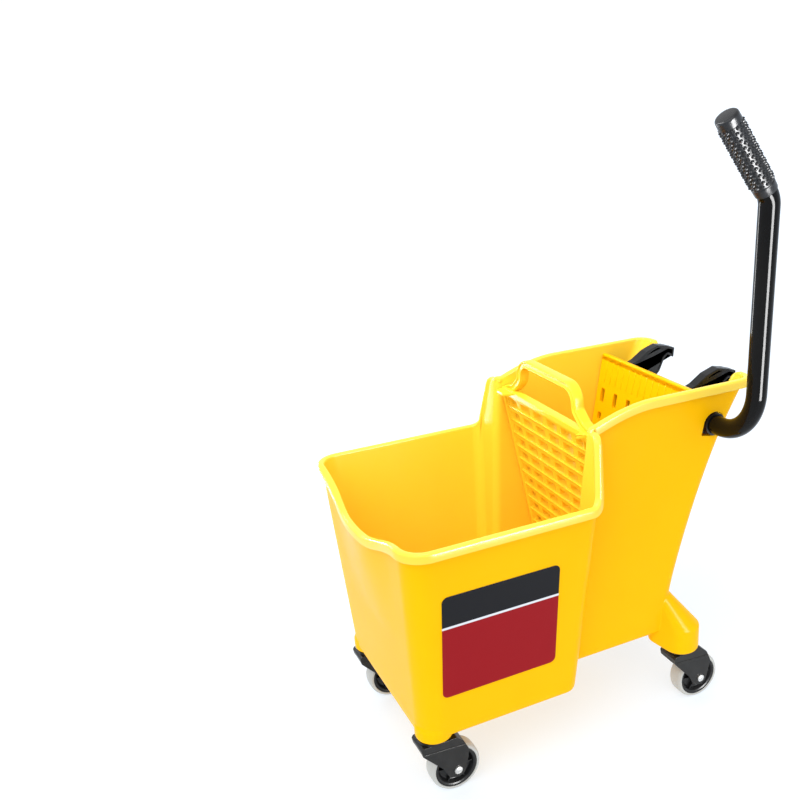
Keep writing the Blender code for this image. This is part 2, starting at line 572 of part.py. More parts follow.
def build_lever(mats, pivot):
    """The bent tube, the grip on its end, the cam arms with their screws, and the return spring."""
    path, along = lever_path()
    bm = bmesh.new()
    rings = sweep_rings(bm, path, TUBE_R, 18)
    rings += sweep_rings(bm, path, TUBE_R - TUBE_WALL, 18)[::-1]
    grid_faces(bm, rings, closed_stack=True)
    add_object("lever_tube", bm, mats["tube"], pivot, smooth=40)

    low, high, floor = COLLAR_LENGTH, GRIP_LENGTH - COLLAR_LENGTH, GRIP_LENGTH - GRIP_END
    grip = turned([(BORE_R, 0), (COLLAR_R - 0.001, 0), (COLLAR_R, 0.001), (COLLAR_R, low),
                   (GRIP_R, low + COLLAR_RAMP), (GRIP_R, high - COLLAR_RAMP), (COLLAR_R, high),
                   (COLLAR_R, GRIP_LENGTH - 0.002), (COLLAR_R - 0.003, GRIP_LENGTH), (0, GRIP_LENGTH),
                   (0, floor), (BORE_R, floor)], 20)
    grip_obj = add_object("lever_grip", grip, mats["rubber"], pivot, path[-2] + along * CLEAR, smooth=40)
    grip_obj.rotation_euler = (0, -GRIP_LEAN, 0)

    outline = [*ARM_OUTLINE, *arc((0, 0), ARM_HUB_R, 0, -150, 12)[1:]]
    for side, name in ((1, "far"), (-1, "near")):
        arm = prism(outline, side * ARM_Y - ARM_THICK / 2, side * ARM_Y + ARM_THICK / 2)
        arm_obj = add_object("cam_arm_" + name, arm, mats["black"], pivot)
        tool = turned([(0, -ARM_THICK), (BORE_R, -ARM_THICK), (BORE_R, ARM_THICK), (0, ARM_THICK)], 20, "Y")
        cut_with(arm_obj, add_object("arm_bore_" + name, tool, mats["black"], pivot, (0, side * ARM_Y, 0)))
        reach = 1.5 * ARM_HUB_R
        tool = turned([(0, 0), (SCREW_HOLE_R, 0), (SCREW_HOLE_R, reach), (0, reach)], 10)
        hole = add_object("arm_screw_hole_" + name, tool, mats["black"], pivot, (0, side * ARM_Y, 0))
        hole.rotation_euler = (0, SCREW_TURN, 0)
        cut_with(arm_obj, hole)
        tip = TUBE_R + 1.5 * CLEAR
        screw = turned([(0, tip), (SCREW_R, tip), (SCREW_R, SCREW_HEAD_LOW), (SCREW_HEAD_R, SCREW_HEAD_LOW),
                        (SCREW_HEAD_R, SCREW_HEAD_TOP - 0.0011), (0.65 * SCREW_HEAD_R, SCREW_HEAD_TOP),
                        (0, SCREW_HEAD_TOP)], 12)
        place = (0, side * ARM_Y, 0)
        screw_obj = add_object("arm_screw_" + name, screw, mats["steel"], pivot, place, smooth=40)
        screw_obj.rotation_euler = (0, SCREW_TURN, 0)

    per_turn, coil = 12, []
    for k in range(SPRING_TURNS * per_turn + 1):
        a = 2 * math.pi * k / per_turn
        y = SPRING_START_Y + SPRING_PITCH * k / per_turn
        coil.append(Vector((SPRING_R * math.cos(a), y, SPRING_R * math.sin(a))))
    flat_tail = Vector((SPRING_TAIL.x, 0, -SPRING_TAIL.z))
    coil = [coil[0] + flat_tail] + coil + [coil[-1] + SPRING_TAIL]
    bm = bmesh.new()
    rings = sweep_rings(bm, coil, SPRING_WIRE_R, 5)
    grid_faces(bm, rings)
    bm.faces.new(rings[0])
    bm.faces.new(rings[-1])
    add_object("return_spring", bm, mats["steel"], pivot, smooth=60)


# --- Casters ------------------------------------------------------------------------------------------

def build_caster(name, x, y, mats, datum):
    """Stem in the foot, swivel fork and axle, and a two-part wheel."""
    swivel = empty("swivel_" + name, (x, y, 0), datum)
    stem = turned([(0, STEM_LOW_Z), (STEM_PIN_R, STEM_LOW_Z), (STEM_PIN_R, FLANGE_LOW_Z),
                   (STEM_FLANGE_R, FLANGE_LOW_Z), (STEM_FLANGE_R, FLANGE_TOP_Z),
                   (STEM_R, FLANGE_TOP_Z + 0.0002), (STEM_R, STEM_TOP_Z - 0.0018),
                   (STEM_R - 0.0015, STEM_TOP_Z), (0, STEM_TOP_Z)], 14)
    add_object("caster_stem_" + name, stem, mats["steel"], datum, (x, y, 0), smooth=40)

    side = [*FORK_BACK, *arc((TRAIL, WHEEL_R), LEG_TIP_R, 225, 340, 6), *FORK_FRONT]
    outside = LEG_INSIDE + LEG_THICK
    fork = add_object("caster_fork_" + name, prism(side, -outside, outside), mats["black"], swivel)
    gap = [(-0.060, 0.0), (0.090, 0.0), (0.090, FORK_UNDER_Z), (-0.060, FORK_UNDER_Z)]
    cut_with(fork, add_object("fork_gap_" + name, prism(gap, -LEG_INSIDE, LEG_INSIDE), mats["black"], swivel))
    radius = AXLE_R + AXLE_CLEAR
    tool = turned([(0, -2 * outside), (radius, -2 * outside), (radius, 2 * outside), (0, 2 * outside)], 12, "Y")
    cut_with(fork, add_object("fork_axle_hole_" + name, tool, mats["black"], swivel, (TRAIL, 0, WHEEL_R)))
    radius, low, high = STEM_PIN_R + CLEAR, FORK_UNDER_Z - 0.01, FORK_TOP_Z + 0.01
    tool = turned([(0, low), (radius, low), (radius, high), (0, high)], 12)
    cut_with(fork, add_object("fork_stem_hole_" + name, tool, mats["black"], swivel))

    wheel = empty("wheel_" + name, (TRAIL, 0, WHEEL_R), swivel)
    half = WHEEL_WIDTH / 2
    hub_profile = [(HUB_BORE_R, -HUB_BOSS_HALF), (HUB_BOSS_R, -HUB_BOSS_HALF), (HUB_BOSS_R + 0.0030, -HUB_WEB),
                   (HUB_R - 0.0065, -HUB_WEB), (HUB_R - 0.0040, -HUB_RIM_HALF), (HUB_R - 0.0002, -HUB_RIM_HALF)]
    hub_profile += [(r, -h) for r, h in reversed(hub_profile)]
    add_object("caster_hub_" + name, turned(hub_profile, 24, "Y"), mats["black"], wheel, smooth=40)
    tread_profile = [(HUB_R + 0.0002, -half), (WHEEL_R - 0.0022, -half), (WHEEL_R, -half + 0.0040)]
    tread_profile += [(r, -h) for r, h in reversed(tread_profile)]
    add_object("caster_tread_" + name, turned(tread_profile, 32, "Y"), mats["tread"], wheel, smooth=40)
    end, neck = outside + AXLE_HEAD, outside + AXLE_CLEAR
    axle = turned([(0, -end), (AXLE_HEAD_R, -end), (AXLE_HEAD_R, -neck), (AXLE_R, -neck),
                   (AXLE_R, neck), (AXLE_HEAD_R, neck), (AXLE_HEAD_R, end), (0, end)], 12, "Y")
    add_object("caster_axle_" + name, axle, mats["steel"], swivel, (TRAIL, 0, WHEEL_R), smooth=40)


# --- Small fixed parts --------------------------------------------------------------------------------

def build_small_parts(mats, datum, shaft):
    """Pivot pin, shaft bushings, end cap and the side label."""
    half, bevel = PIN_HALF, 0.2 * PIN_R
    pin = turned([(0, -half), (PIN_R - bevel, -half), (PIN_R, -half + bevel), (PIN_R, half - bevel),
                  (PIN_R - bevel, half), (0, half)], 16, "Y")
    add_object("plate_pivot_pin", pin, mats["steel"], datum, (PIVOT_X, 0, PIVOT_Z), smooth=40)
    for side, name in ((1, "far"), (-1, "near")):
        inner, step, outer = side * BUSH_INNER_Y, side * BUSH_STEP_Y, side * BUSH_OUTER_Y
        bush = turned([(BORE_R, inner), (BUSH_FLANGE_R, inner), (BUSH_FLANGE_R, step), (BUSH_R, step),
                       (BUSH_R, outer), (BORE_R, outer)], 20, "Y")
        add_object("shaft_bushing_" + name, bush, mats["black"], datum, (SHAFT_X, 0, SHAFT_Z), smooth=40)
    cap = turned([(BORE_R, CAP_LOW_Y), (CAP_R - 0.001, CAP_LOW_Y), (CAP_R, CAP_LOW_Y + 0.001),
                  (CAP_R, CAP_TOP_Y - 0.0025), (CAP_R - 0.0025, CAP_TOP_Y), (0, CAP_TOP_Y), (0, CAP_FLOOR_Y),
                  (BORE_R, CAP_FLOOR_Y)], 20, "Y")
    add_object("shaft_end_cap", cap, mats["black"], shaft, smooth=40)

    (low_x, high_x), (low_z, high_z), corner = LABEL_X, LABEL_Z, LABEL_CORNER
    outline = arc((high_x - corner, high_z - corner), corner, 90, 0, 4)
    outline += arc((high_x - corner, low_z + corner), corner, 0, -90, 4)
    outline += arc((low_x + corner, low_z + corner), corner, -90, -180, 4)
    outline += arc((low_x + corner, high_z - corner), corner, 180, 90, 4)
    bm = bmesh.new()
    rings = [[bm.verts.new((x, -(lerp_table(FRONT_HALF, z) + off), z)) for x, z in outline]
             for off in (LABEL_GAP, LABEL_FACE)]
    grid_faces(bm, rings)
    bm.faces.new(rings[0])
    bm.faces.new(rings[1])
    add_object("side_label", bm, mats["label"], datum)


def main():
    clear_scene()
    mats = {
        "yellow": material("yellow_plastic", YELLOW, 0.38),
        "yellow_wringer": material("yellow_wringer_plastic", YELLOW, 0.40),
        "tube": material("black_painted_tube", BLACK, 0.12),
        "rubber": material("black_rubber", (0.035, 0.037, 0.040), 0.60),
        "black": material("black_plastic", BLACK, 0.40),
        "tread": material("grey_tread", (0.52, 0.51, 0.47), 0.55),
        "steel": material("zinc_steel", (0.60, 0.60, 0.58), 0.30, 1.0),
        "label": material("printed_label", (0.25, 0.015, 0.02), 0.30),
    }
    datum = empty("datum", DATUM)
    shaft = empty("lever_shaft_axis", (SHAFT_X, 0, SHAFT_Z), datum)
    pivot = empty("press_plate_axis", (PIVOT_X, 0, PIVOT_Z), datum)
    build_shell(mats["yellow"], datum)
    for build in (build_screen, build_loop_handle, build_drain_shelf):
        build(mats["yellow_wringer"], datum)
    build_plate(mats["yellow_wringer"], pivot)
    build_lever(mats, shaft)
    for name, x, y in FEET:
        build_caster(name, x, y, mats, datum)
    build_small_parts(mats, datum, shaft)


main()
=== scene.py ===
"""The looks of a mop bucket with a side-press wringer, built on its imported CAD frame.

Most CAD nodes are replaced by finer pieces of the same size in the same place. A piece is drawn in its own
frame: the bucket's datum (front rim, mid width, floor), the lever's shaft, the plate's pivot, or a caster's
swivel or wheel axis, each of which is read from the record's joints. +X runs to the wringer end, the lever
stands on -Y, and all lengths are in metres.
"""

import json
import math

import bmesh
import bpy
from mathutils import Matrix, Vector

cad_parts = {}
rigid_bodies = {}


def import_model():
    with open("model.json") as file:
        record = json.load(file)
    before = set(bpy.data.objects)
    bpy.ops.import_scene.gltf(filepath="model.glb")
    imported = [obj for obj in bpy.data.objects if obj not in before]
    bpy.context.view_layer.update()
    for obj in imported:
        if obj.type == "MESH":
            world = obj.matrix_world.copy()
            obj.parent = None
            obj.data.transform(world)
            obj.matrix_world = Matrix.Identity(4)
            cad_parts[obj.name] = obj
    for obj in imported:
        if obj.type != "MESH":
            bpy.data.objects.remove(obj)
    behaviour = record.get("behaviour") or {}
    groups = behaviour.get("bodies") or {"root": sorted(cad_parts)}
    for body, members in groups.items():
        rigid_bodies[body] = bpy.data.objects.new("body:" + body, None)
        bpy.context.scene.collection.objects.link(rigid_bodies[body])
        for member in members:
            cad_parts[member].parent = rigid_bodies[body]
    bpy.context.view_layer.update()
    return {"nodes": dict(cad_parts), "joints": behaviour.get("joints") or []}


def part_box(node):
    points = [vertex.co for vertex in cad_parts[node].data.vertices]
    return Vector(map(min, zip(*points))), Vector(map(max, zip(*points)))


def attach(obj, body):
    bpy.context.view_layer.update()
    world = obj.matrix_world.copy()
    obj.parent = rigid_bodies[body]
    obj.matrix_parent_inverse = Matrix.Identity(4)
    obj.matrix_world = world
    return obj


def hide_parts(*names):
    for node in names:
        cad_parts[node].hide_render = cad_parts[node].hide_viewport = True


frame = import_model()
JOINTS = {joint["name"]: joint for joint in frame["joints"]}
CORNERS = ("front_near", "front_far", "rear_near", "rear_far")

# Shaft and pivot in the datum's frame, and the datum's place in the world
SHAFT_X, SHAFT_Z = 0.465, 0.422
PIVOT_X, PIVOT_Z = 0.386, 0.166
SHAFT = Vector(JOINTS["lever_pull"]["pos_m"])
PIVOT = Vector(JOINTS["plate_press"]["pos_m"])
DATUM = SHAFT - Vector((SHAFT_X, 0, SHAFT_Z))

# Bucket
WALL = 0.004
LIP_OUT = 0.0051
LIP_DROP = 0.0120
FLOOR_FILLET = 0.008
FRONT_FLOOR_Z, REAR_FLOOR_Z = 0.093, 0.115
FRONT_RIM_Z, RISER_TOP_Z, REAR_RIM_Z = 0.374, 0.453, 0.477
POUR_DIP, POUR_BULGE, POUR_HALF = 0.028, 0.008, 0.105
FRONT_X = ((FRONT_FLOOR_Z, 0.022), (FRONT_RIM_Z, 0.006))
FRONT_HALF = ((FRONT_FLOOR_Z, 0.136), (FRONT_RIM_Z, 0.167), (RISER_TOP_Z, 0.1515))
STEP_X = ((FRONT_FLOOR_Z, 0.245), (FRONT_RIM_Z, 0.262), (RISER_TOP_Z, 0.270))
REAR_HALF = ((REAR_FLOOR_Z, 0.107), (REAR_RIM_Z, 0.1215))
REAR_X = ((0.115, 0.412), (0.18, 0.419), (0.235, 0.431), (0.30, 0.449), (0.36, 0.469), (0.41, 0.489),
          (0.45, 0.509), (0.48, 0.526))
FRONT_CORNER_R, SHOULDER_R, VALLEY_R, REAR_CORNER_R = 0.030, 0.018, 0.007, 0.020
REAR_GAP_HALF, REAR_GAP_Z = 0.088, 0.404
SEGMENTS = (("front", 30), ("front_corner", 12), ("side", 20), ("shoulder", 16), ("valley", 14),
            ("flank", 36), ("rear_corner", 14), ("rear", 26))
COLUMNS = sum(count for _, count in SEGMENTS)
FOOT_R, FRONT_FOOT_R, FOOT_BOTTOM_Z = 0.026, 0.0245, 0.088
FRONT_FOOT_INSET = 0.003
FILLET_STEPS, WALL_STEPS = 6, 30
WALL_TOP_ROW = FILLET_STEPS + WALL_STEPS

# Lever
TUBE_R = 0.0127
SHAFT_FAR_Y, LEVER_Y = 0.128, -0.195
LOWER_BEND_R, UPPER_BEND_R = 0.064, 0.028
UPPER_BEND_Z = 0.7103 - SHAFT_Z
GRIP_LEAN = math.radians(37)
GRIP_LENGTH, COLLAR_R, SLEEVE_R, STUD_R = 0.106, 0.0140, 0.0136, 0.0161
ARM_Y, ARM_THICK, ARM_HUB_R = 0.068, 0.015, 0.0195

# Press plate and screen
PLATE_LEAN = math.radians(12)
PLATE_HEIGHT = 0.3047
SCREEN_TOP_X, SCREEN_TOP_Z, SCREEN_FOOT_Z = 0.274, 0.444, 0.160
SCREEN_LEAN = math.radians(10)
SCREEN_THICK = 0.011
SLOT_COLUMNS, SLOT_ROWS = 6, 12
SLOT_PITCH_Y, SLOT_PITCH_Z = 0.0366, 0.0212
SLOT_WIDTH, SLOT_HEIGHT = 0.0250, 0.0108
HANDLE_X = 0.2845
SHELF_Z, SHELF_THICK = 0.1583, 0.004

# Casters
WHEEL_R, WHEEL_WIDTH, HUB_R = 0.0343, 0.024, 0.0290
TRAIL = 0.026
FORK_TOP_Z, FORK_UNDER_Z = 0.0838, 0.0735
LEG_INSIDE, LEG_THICK = 0.0135, 0.0035

# Camera and picture
CAMERA_AT = Vector((-0.5692, -1.0023, 0.8654))
CAMERA_YAW, CAMERA_PITCH, CAMERA_ROLL = (math.radians(a) for a in (26.41, 21.06, -2.25))
CAMERA_LENS = 42.2
CAMERA_SHIFT = (-0.12, 0.04)

# Label print: the pale line's height from the label's centre, half its width, and the borders' softness
LABEL_LINE_Z, LABEL_LINE_HALF, LABEL_SOFT = 0.030, 0.0014, 0.0004
# Backdrop and light
BOWL_FLAT_R, BOWL_CURVE_R, BOWL_TOP_Z, BOWL_THICK = 4.5, 1.5, 3.2, 0.02
SKY, BOWL_GLOW = 0.95, 0.57
KEY_FROM, KEY_ANGLE, KEY_POWER = (-0.55, -0.40, 0.73), math.radians(50), 1.35
LAMPS = (("over_bin", (-0.14, 0.0, 0.95), (-0.10, 0.0, 0.0), (0.25, 0.25), 2.4),
         ("tube_strip", (0.27, -1.17, 0.45), (0.20, -0.175, 0.55), (0.42, 0.90), 75.0),
         ("tube_edge", (-0.36, 0.95, 0.35), (0.20, -0.175, 0.50), (0.10, 0.90), 10.0))


# --- Small tools --------------------------------------------------------------------------------------

def smooth_step(t):
    t = max(0.0, min(1.0, t))
    return t * t * (3 - 2 * t)


def lerp_table(table, z):
    """Linear interpolation in a table of (z, value), held past its ends."""
    if z <= table[0][0]:
        return table[0][1]
    for (z0, v0), (z1, v1) in zip(table, table[1:]):
        if z <= z1:
            return v0 + (v1 - v0) * (z - z0) / (z1 - z0)
    return table[-1][1]


def curve_table(table, z):
    """Interpolation in a table of (z, value) by one smooth curve, held past its ends."""
    if z <= table[0][0]:
        return table[0][1]
    for k in range(len(table) - 1):
        (z0, v0), (z1, v1) = table[k], table[k + 1]
        if z <= z1:
            before, after = table[max(k - 1, 0)], table[min(k + 2, len(table) - 1)]
            t, span = (z - z0) / (z1 - z0), z1 - z0
            m0 = (v1 - before[1]) / (z1 - before[0]) * span
            m1 = (after[1] - v0) / (after[0] - z0) * span
            return ((2 * t**3 - 3 * t**2 + 1) * v0 + (t**3 - 2 * t**2 + t) * m0
                    + (3 * t**2 - 2 * t**3) * v1 + (t**3 - t**2) * m1)
    return table[-1][1]


def arc(centre, radius, start, end, steps):
    """Points on an arc, in degrees, both ends included."""
    angles = [math.radians(start + (end - start) * i / steps) for i in range(steps + 1)]
    return [(centre[0] + radius * math.cos(a), centre[1] + radius * math.sin(a)) for a in angles]


def rounded(corners, steps=10):
    """A polyline through (a, b, radius) corners with each corner turned into an arc of that radius."""
    points = []
    for k, (a, b, radius) in enumerate(corners):
        here = Vector((a, b))
        if not radius or k in (0, len(corners) - 1):
            points.append(here)
            continue
        back = (Vector(corners[k - 1][:2]) - here).normalized()
        ahead = (Vector(corners[k + 1][:2]) - here).normalized()
        half = back.angle(ahead) / 2
        centre = here + (back + ahead).normalized() * (radius / math.sin(half))
        first = here + back * (radius / math.tan(half)) - centre
        last = here + ahead * (radius / math.tan(half)) - centre
        sweep = first.angle_signed(last)
        for i in range(steps + 1):
            points.append(centre + Matrix.Rotation(-sweep * i / steps, 2) @ first)
    return points


def rounded_loop(corners, radius, steps=6):
    """A closed outline through (a, b) corners, all rounded by one radius or each by its own third value."""
    ring = [(c[0], c[1], c[2] if len(c) > 2 else radius) for c in corners]
    points = rounded([ring[-1], *ring, ring[0]], steps)
    return [tuple(p) for p in points[1:-1]]


def grid_faces(bm, rings, closed_stack=False, capped=False):
    """Joins neighbouring rings of equal length with quads; capped closes both ends."""
    stacks = len(rings) if closed_stack else len(rings) - 1
    for j in range(stacks):
        low, high = rings[j], rings[(j + 1) % len(rings)]
        for i in range(len(low)):
            k = (i + 1) % len(low)
            bm.faces.new((low[i], low[k], high[k], high[i]))
    if capped:
        bm.faces.new(rings[0])
        bm.faces.new(rings[-1])


def piece(name, bm, mat, origin, body, replaced=(), smooth=35, bevel=0.0, segments=2):
    """Turns a bmesh into a piece that rides on a body; a bevel rounds its sharp edges."""
    bmesh.ops.recalc_face_normals(bm, faces=bm.faces)
    mesh = bpy.data.meshes.new(name)
    bm.to_mesh(mesh)
    bm.free()
    mesh.materials.append(mat)
    mesh.shade_smooth()
    mesh.set_sharp_from_angle(angle=math.radians(smooth))
    obj = bpy.data.objects.new(name, mesh)
    obj.location = origin
    bpy.context.scene.collection.objects.link(obj)
    if bevel:
        mod = obj.modifiers.new("edges", "BEVEL")
        mod.width = bevel
        mod.segments = segments
        mod.limit_method = "ANGLE"
        mod.angle_limit = math.radians(smooth)
        mod.harden_normals = True
    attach(obj, body)
    if replaced:
        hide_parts(*replaced)
    return obj


def cutter(name, bm, origin, target, operation="DIFFERENCE"):
    """A hidden tool and its Boolean on the target, ahead of the target's bevel."""
    bmesh.ops.recalc_face_normals(bm, faces=bm.faces)
    mesh = bpy.data.meshes.new(name)
    bm.to_mesh(mesh)
    bm.free()
    tool = bpy.data.objects.new(name, mesh)
    tool.location = origin
    tool.hide_render = True
    tool.display_type = "WIRE"
    bpy.context.scene.collection.objects.link(tool)
    tool.parent = target.parent
    mod = target.modifiers.new(name, "BOOLEAN")
    mod.object = tool
    mod.operation = operation
    mod.solver = "EXACT"
    target.modifiers.move(len(target.modifiers) - 1, 0)


def turned(profile, steps=64, axis="Z", bm=None):
    """A body of revolution from (radius, height) points; a point of radius 0 closes an end."""
    bm = bm or bmesh.new()
    turn = {"Z": Matrix.Identity(3), "Y": Matrix.Rotation(-math.pi / 2, 3, "X")}[axis]
    rings = []
    for radius, height in profile:
        count = steps if radius else 1
        angles = [2 * math.pi * i / steps for i in range(count)]
        rings.append([bm.verts.new(turn @ Vector((radius * math.cos(a), radius * math.sin(a), height)))
                      for a in angles])
    pairs = list(zip(rings, rings[1:]))
    if len(rings[0]) > 1 and len(rings[-1]) > 1:
        pairs.append((rings[-1], rings[0]))
    for low, high in pairs:
        for i in range(steps):
            k = (i + 1) % steps
            face = [low[i % len(low)], low[k % len(low)], high[k % len(high)], high[i % len(high)]]
            face = list(dict.fromkeys(face))
            if len(face) > 2:
                bm.faces.new(face)
    return bm


def prism(points, low, high, plane="XZ", bm=None):
    """A closed polygon pushed along Y (plane XZ), along X (plane YZ) or along Z (plane XY)."""
    bm = bm or bmesh.new()
    place = {"XZ": lambda a, b, d: (a, d, b), "YZ": lambda a, b, d: (d, a, b),
             "XY": lambda a, b, d: (a, b, d)}[plane]
    rings = [[bm.verts.new(place(a, b, d)) for a, b in points] for d in (low, high)]
    grid_faces(bm, rings, capped=True)
    return bm


def swept(bm, path, section, closed=False, side=Vector((1, 0, 0))):
    """Pushes a section of (side, up) points along a path, square to it and without twist."""
    rings = []
    for i, point in enumerate(path):
        before = path[i - 1] if closed or i else path[0]
        after = path[(i + 1) % len(path)] if closed else path[min(i + 1, len(path) - 1)]
        tangent = (after - before).normalized()
        side = (side - tangent * side.dot(tangent)).normalized()
        up = tangent.cross(side)
        rings.append([bm.verts.new(point + side * a + up * b) for a, b in section])
    grid_faces(bm, rings, closed_stack=closed, capped=not closed)
    return bm


def circle(radius, steps):
    return [(radius * math.cos(2 * math.pi * k / steps), radius * math.sin(2 * math.pi * k / steps))
            for k in range(steps)]


# --- Materials ----------------------------------------------------------------------------------------

def nodes_of(name):
    mat = bpy.data.materials.new(name)
    mat.use_nodes = True
    tree = mat.node_tree
    return mat, tree, tree.nodes["Principled BSDF"]


def add_node(tree, kind, **settings):
    node = tree.nodes.new(kind)
    for key, value in settings.items():
        if key in node.inputs:
            node.inputs[key].default_value = value
        else:
            setattr(node, key, value)
    return node


def math_node(tree, operation, a, b=0.0, clamp=False):
    """One Math node; a and b are numbers or sockets."""
    node = tree.nodes.new("ShaderNodeMath")
    node.operation = operation
    node.use_clamp = clamp
    for socket, value in zip(node.inputs, (a, b)):
        if isinstance(value, (int, float)):
            socket.default_value = value
        else:
            tree.links.new(value, socket)
    return node.outputs[0]


def noise(tree, scale, detail=2.0, stretch=(1, 1, 1)):
    """A noise value in object space; stretch squeezes it along the axes."""
    coords = add_node(tree, "ShaderNodeTexCoord")
    mapping = add_node(tree, "ShaderNodeMapping", Scale=stretch)
    texture = add_node(tree, "ShaderNodeTexNoise", Scale=scale, Detail=detail)
    tree.links.new(coords.outputs["Object"], mapping.inputs["Vector"])
    tree.links.new(mapping.outputs["Vector"], texture.inputs["Vector"])
    return texture.outputs["Fac"]


def ramp(tree, fac, stops):
    """A colour ramp of (position, colour) stops."""
    node = tree.nodes.new("ShaderNodeValToRGB")
    elements = node.color_ramp.elements
    while len(elements) < len(stops):
        elements.new(0.5)
    for element, (position, colour) in zip(elements, stops):
        element.position = position
        element.color = (*colour, 1.0)
    tree.links.new(fac, node.inputs["Fac"])
    return node.outputs["Color"]


def value_range(tree, fac, low, high):
    node = add_node(tree, "ShaderNodeMapRange")
    node.inputs["From Min"].default_value, node.inputs["From Max"].default_value = 0.3, 0.7
    node.inputs["To Min"].default_value, node.inputs["To Max"].default_value = low, high
    tree.links.new(fac, node.inputs["Value"])
    return node.outputs["Result"]


def bump(tree, shader, height, strength, distance):
    node = add_node(tree, "ShaderNodeBump", Strength=strength, Distance=distance)
    tree.links.new(height, node.inputs["Height"])
    tree.links.new(node.outputs["Normal"], shader.inputs["Normal"])


def surface(name, low, high, roughness, grain, metallic=0.0, cloud=9.0, stretch=(1, 1, 1), **sockets):
    """A material whose colour drifts between low and high, with a roughness range and a fine grain.

    grain is (scale, bump strength, bump distance).
    """
    mat, tree, shader = nodes_of(name)
    drift = noise(tree, cloud, 3.0, stretch)
    tree.links.new(ramp(tree, drift, ((0.3, low), (0.7, high))), shader.inputs["Base Color"])
    tree.links.new(value_range(tree, noise(tree, cloud * 6, 4.0), *roughness), shader.inputs["Roughness"])
    shader.inputs["Metallic"].default_value = metallic
    for key, value in sockets.items():
        shader.inputs[key.replace("_", " ")].default_value = value
    scale, strength, distance = grain
    bump(tree, shader, noise(tree, scale, 2.0, stretch), strength, distance)
    return mat


def label_material():
    """A textless print: a plain red field under a plain charcoal band, with one pale line between them."""
    mat, tree, shader = nodes_of("label_print")
    coords = add_node(tree, "ShaderNodeTexCoord")
    split = add_node(tree, "ShaderNodeSeparateXYZ")
    tree.links.new(coords.outputs["Object"], split.inputs[0])
    height = split.outputs["Z"]

    def over(fac, below, above):
        node = tree.nodes.new("ShaderNodeMix")
        node.data_type = "RGBA"
        tree.links.new(fac, node.inputs["Factor"])
        for socket, value in ((node.inputs[6], below), (node.inputs[7], above)):
            if isinstance(value, tuple):
                socket.default_value = (*value, 1.0)
            else:
                tree.links.new(value, socket)
        return node.outputs[2]

    def rises_past(value, edge):
        """0 below the edge and 1 above it, with a soft border."""
        return math_node(tree, "MULTIPLY", math_node(tree, "SUBTRACT", value, edge), 1 / LABEL_SOFT, clamp=True)

    band = rises_past(height, LABEL_LINE_Z)
    colour = over(band, (0.30, 0.004, 0.008), (0.011, 0.011, 0.013))
    away = math_node(tree, "ABSOLUTE", math_node(tree, "SUBTRACT", height, LABEL_LINE_Z))
    colour = over(rises_past(away, LABEL_LINE_HALF), (0.72, 0.72, 0.74), colour)
    tree.links.new(colour, shader.inputs["Base Color"])
    shader.inputs["Roughness"].default_value = 0.30
    shader.inputs["Specular IOR Level"].default_value = 0.08
    bump(tree, shader, noise(tree, 90.0, 2.0), 0.10, 0.0004)
    return mat


def make_materials():
    plastic = {"roughness": (0.20, 0.27), "grain": (260.0, 0.03, 0.0003), "cloud": 7.0}
    black = {"roughness": (0.30, 0.42), "cloud": 25.0, "Specular_IOR_Level": 0.25}
    return {
        "yellow": surface("yellow_plastic", (0.975, 0.485, 0.0015), (0.99, 0.505, 0.0025),
                          Specular_IOR_Level=0.03, **plastic),
        # The inside copy is the same yellow plastic painted paler: painted light for the brighter-lit interior.
        "inside": surface("yellow_plastic_inside", (0.980, 0.620, 0.0320), (1.00, 0.640, 0.0400),
                          Specular_IOR_Level=0.13, **plastic),
        # The rim copy is the same yellow painted lighter: painted light for the rim's top, which catches more
        # light.
        "rim": surface("yellow_plastic_rim_painted_lighter", (0.960, 0.640, 0.0550), (0.98, 0.665, 0.0650),
                       Specular_IOR_Level=0.20, **plastic),
        # The wringer copy is the same yellow painted lighter: painted light for the lit parts inside the bin;
        # the press plate keeps the plain yellow.
        "wringer": surface("yellow_wringer_plastic", (0.970, 0.640, 0.0280), (0.99, 0.665, 0.0350),
                           Specular_IOR_Level=0.13, **plastic),
        "tube": surface("black_enamel", (0.0030, 0.0027, 0.0025), (0.0060, 0.0055, 0.0050), (0.03, 0.06),
                        (40.0, 0.03, 0.0006), Specular_IOR_Level=0.12),
        "rubber": surface("grip_rubber", (0.009, 0.0095, 0.011), (0.020, 0.021, 0.024), (0.24, 0.34),
                          (700.0, 0.30, 0.0003), cloud=40.0, Specular_IOR_Level=0.30),
        "black": surface("black_moulding", (0.0040, 0.0040, 0.0045), (0.0090, 0.0090, 0.0090),
                         grain=(520.0, 0.20, 0.0003), **black),
        "fork": surface("black_fork_nylon", (0.0060, 0.0055, 0.0050), (0.0130, 0.0120, 0.0105),
                        grain=(480.0, 0.25, 0.0003), **black),
        "tread": surface("grey_tread", (0.44, 0.430, 0.395), (0.53, 0.520, 0.480), (0.38, 0.52),
                         (260.0, 0.12, 0.0004), cloud=22.0, Specular_IOR_Level=0.35),
        "steel": surface("zinc_steel", (0.50, 0.50, 0.49), (0.74, 0.73, 0.70), (0.20, 0.36),
                         (300.0, 0.15, 0.0003), metallic=1.0, cloud=60.0, stretch=(1, 1, 4)),
        "label": label_material(),
    }


# --- Bucket -------------------------------------------------------------------------------------------

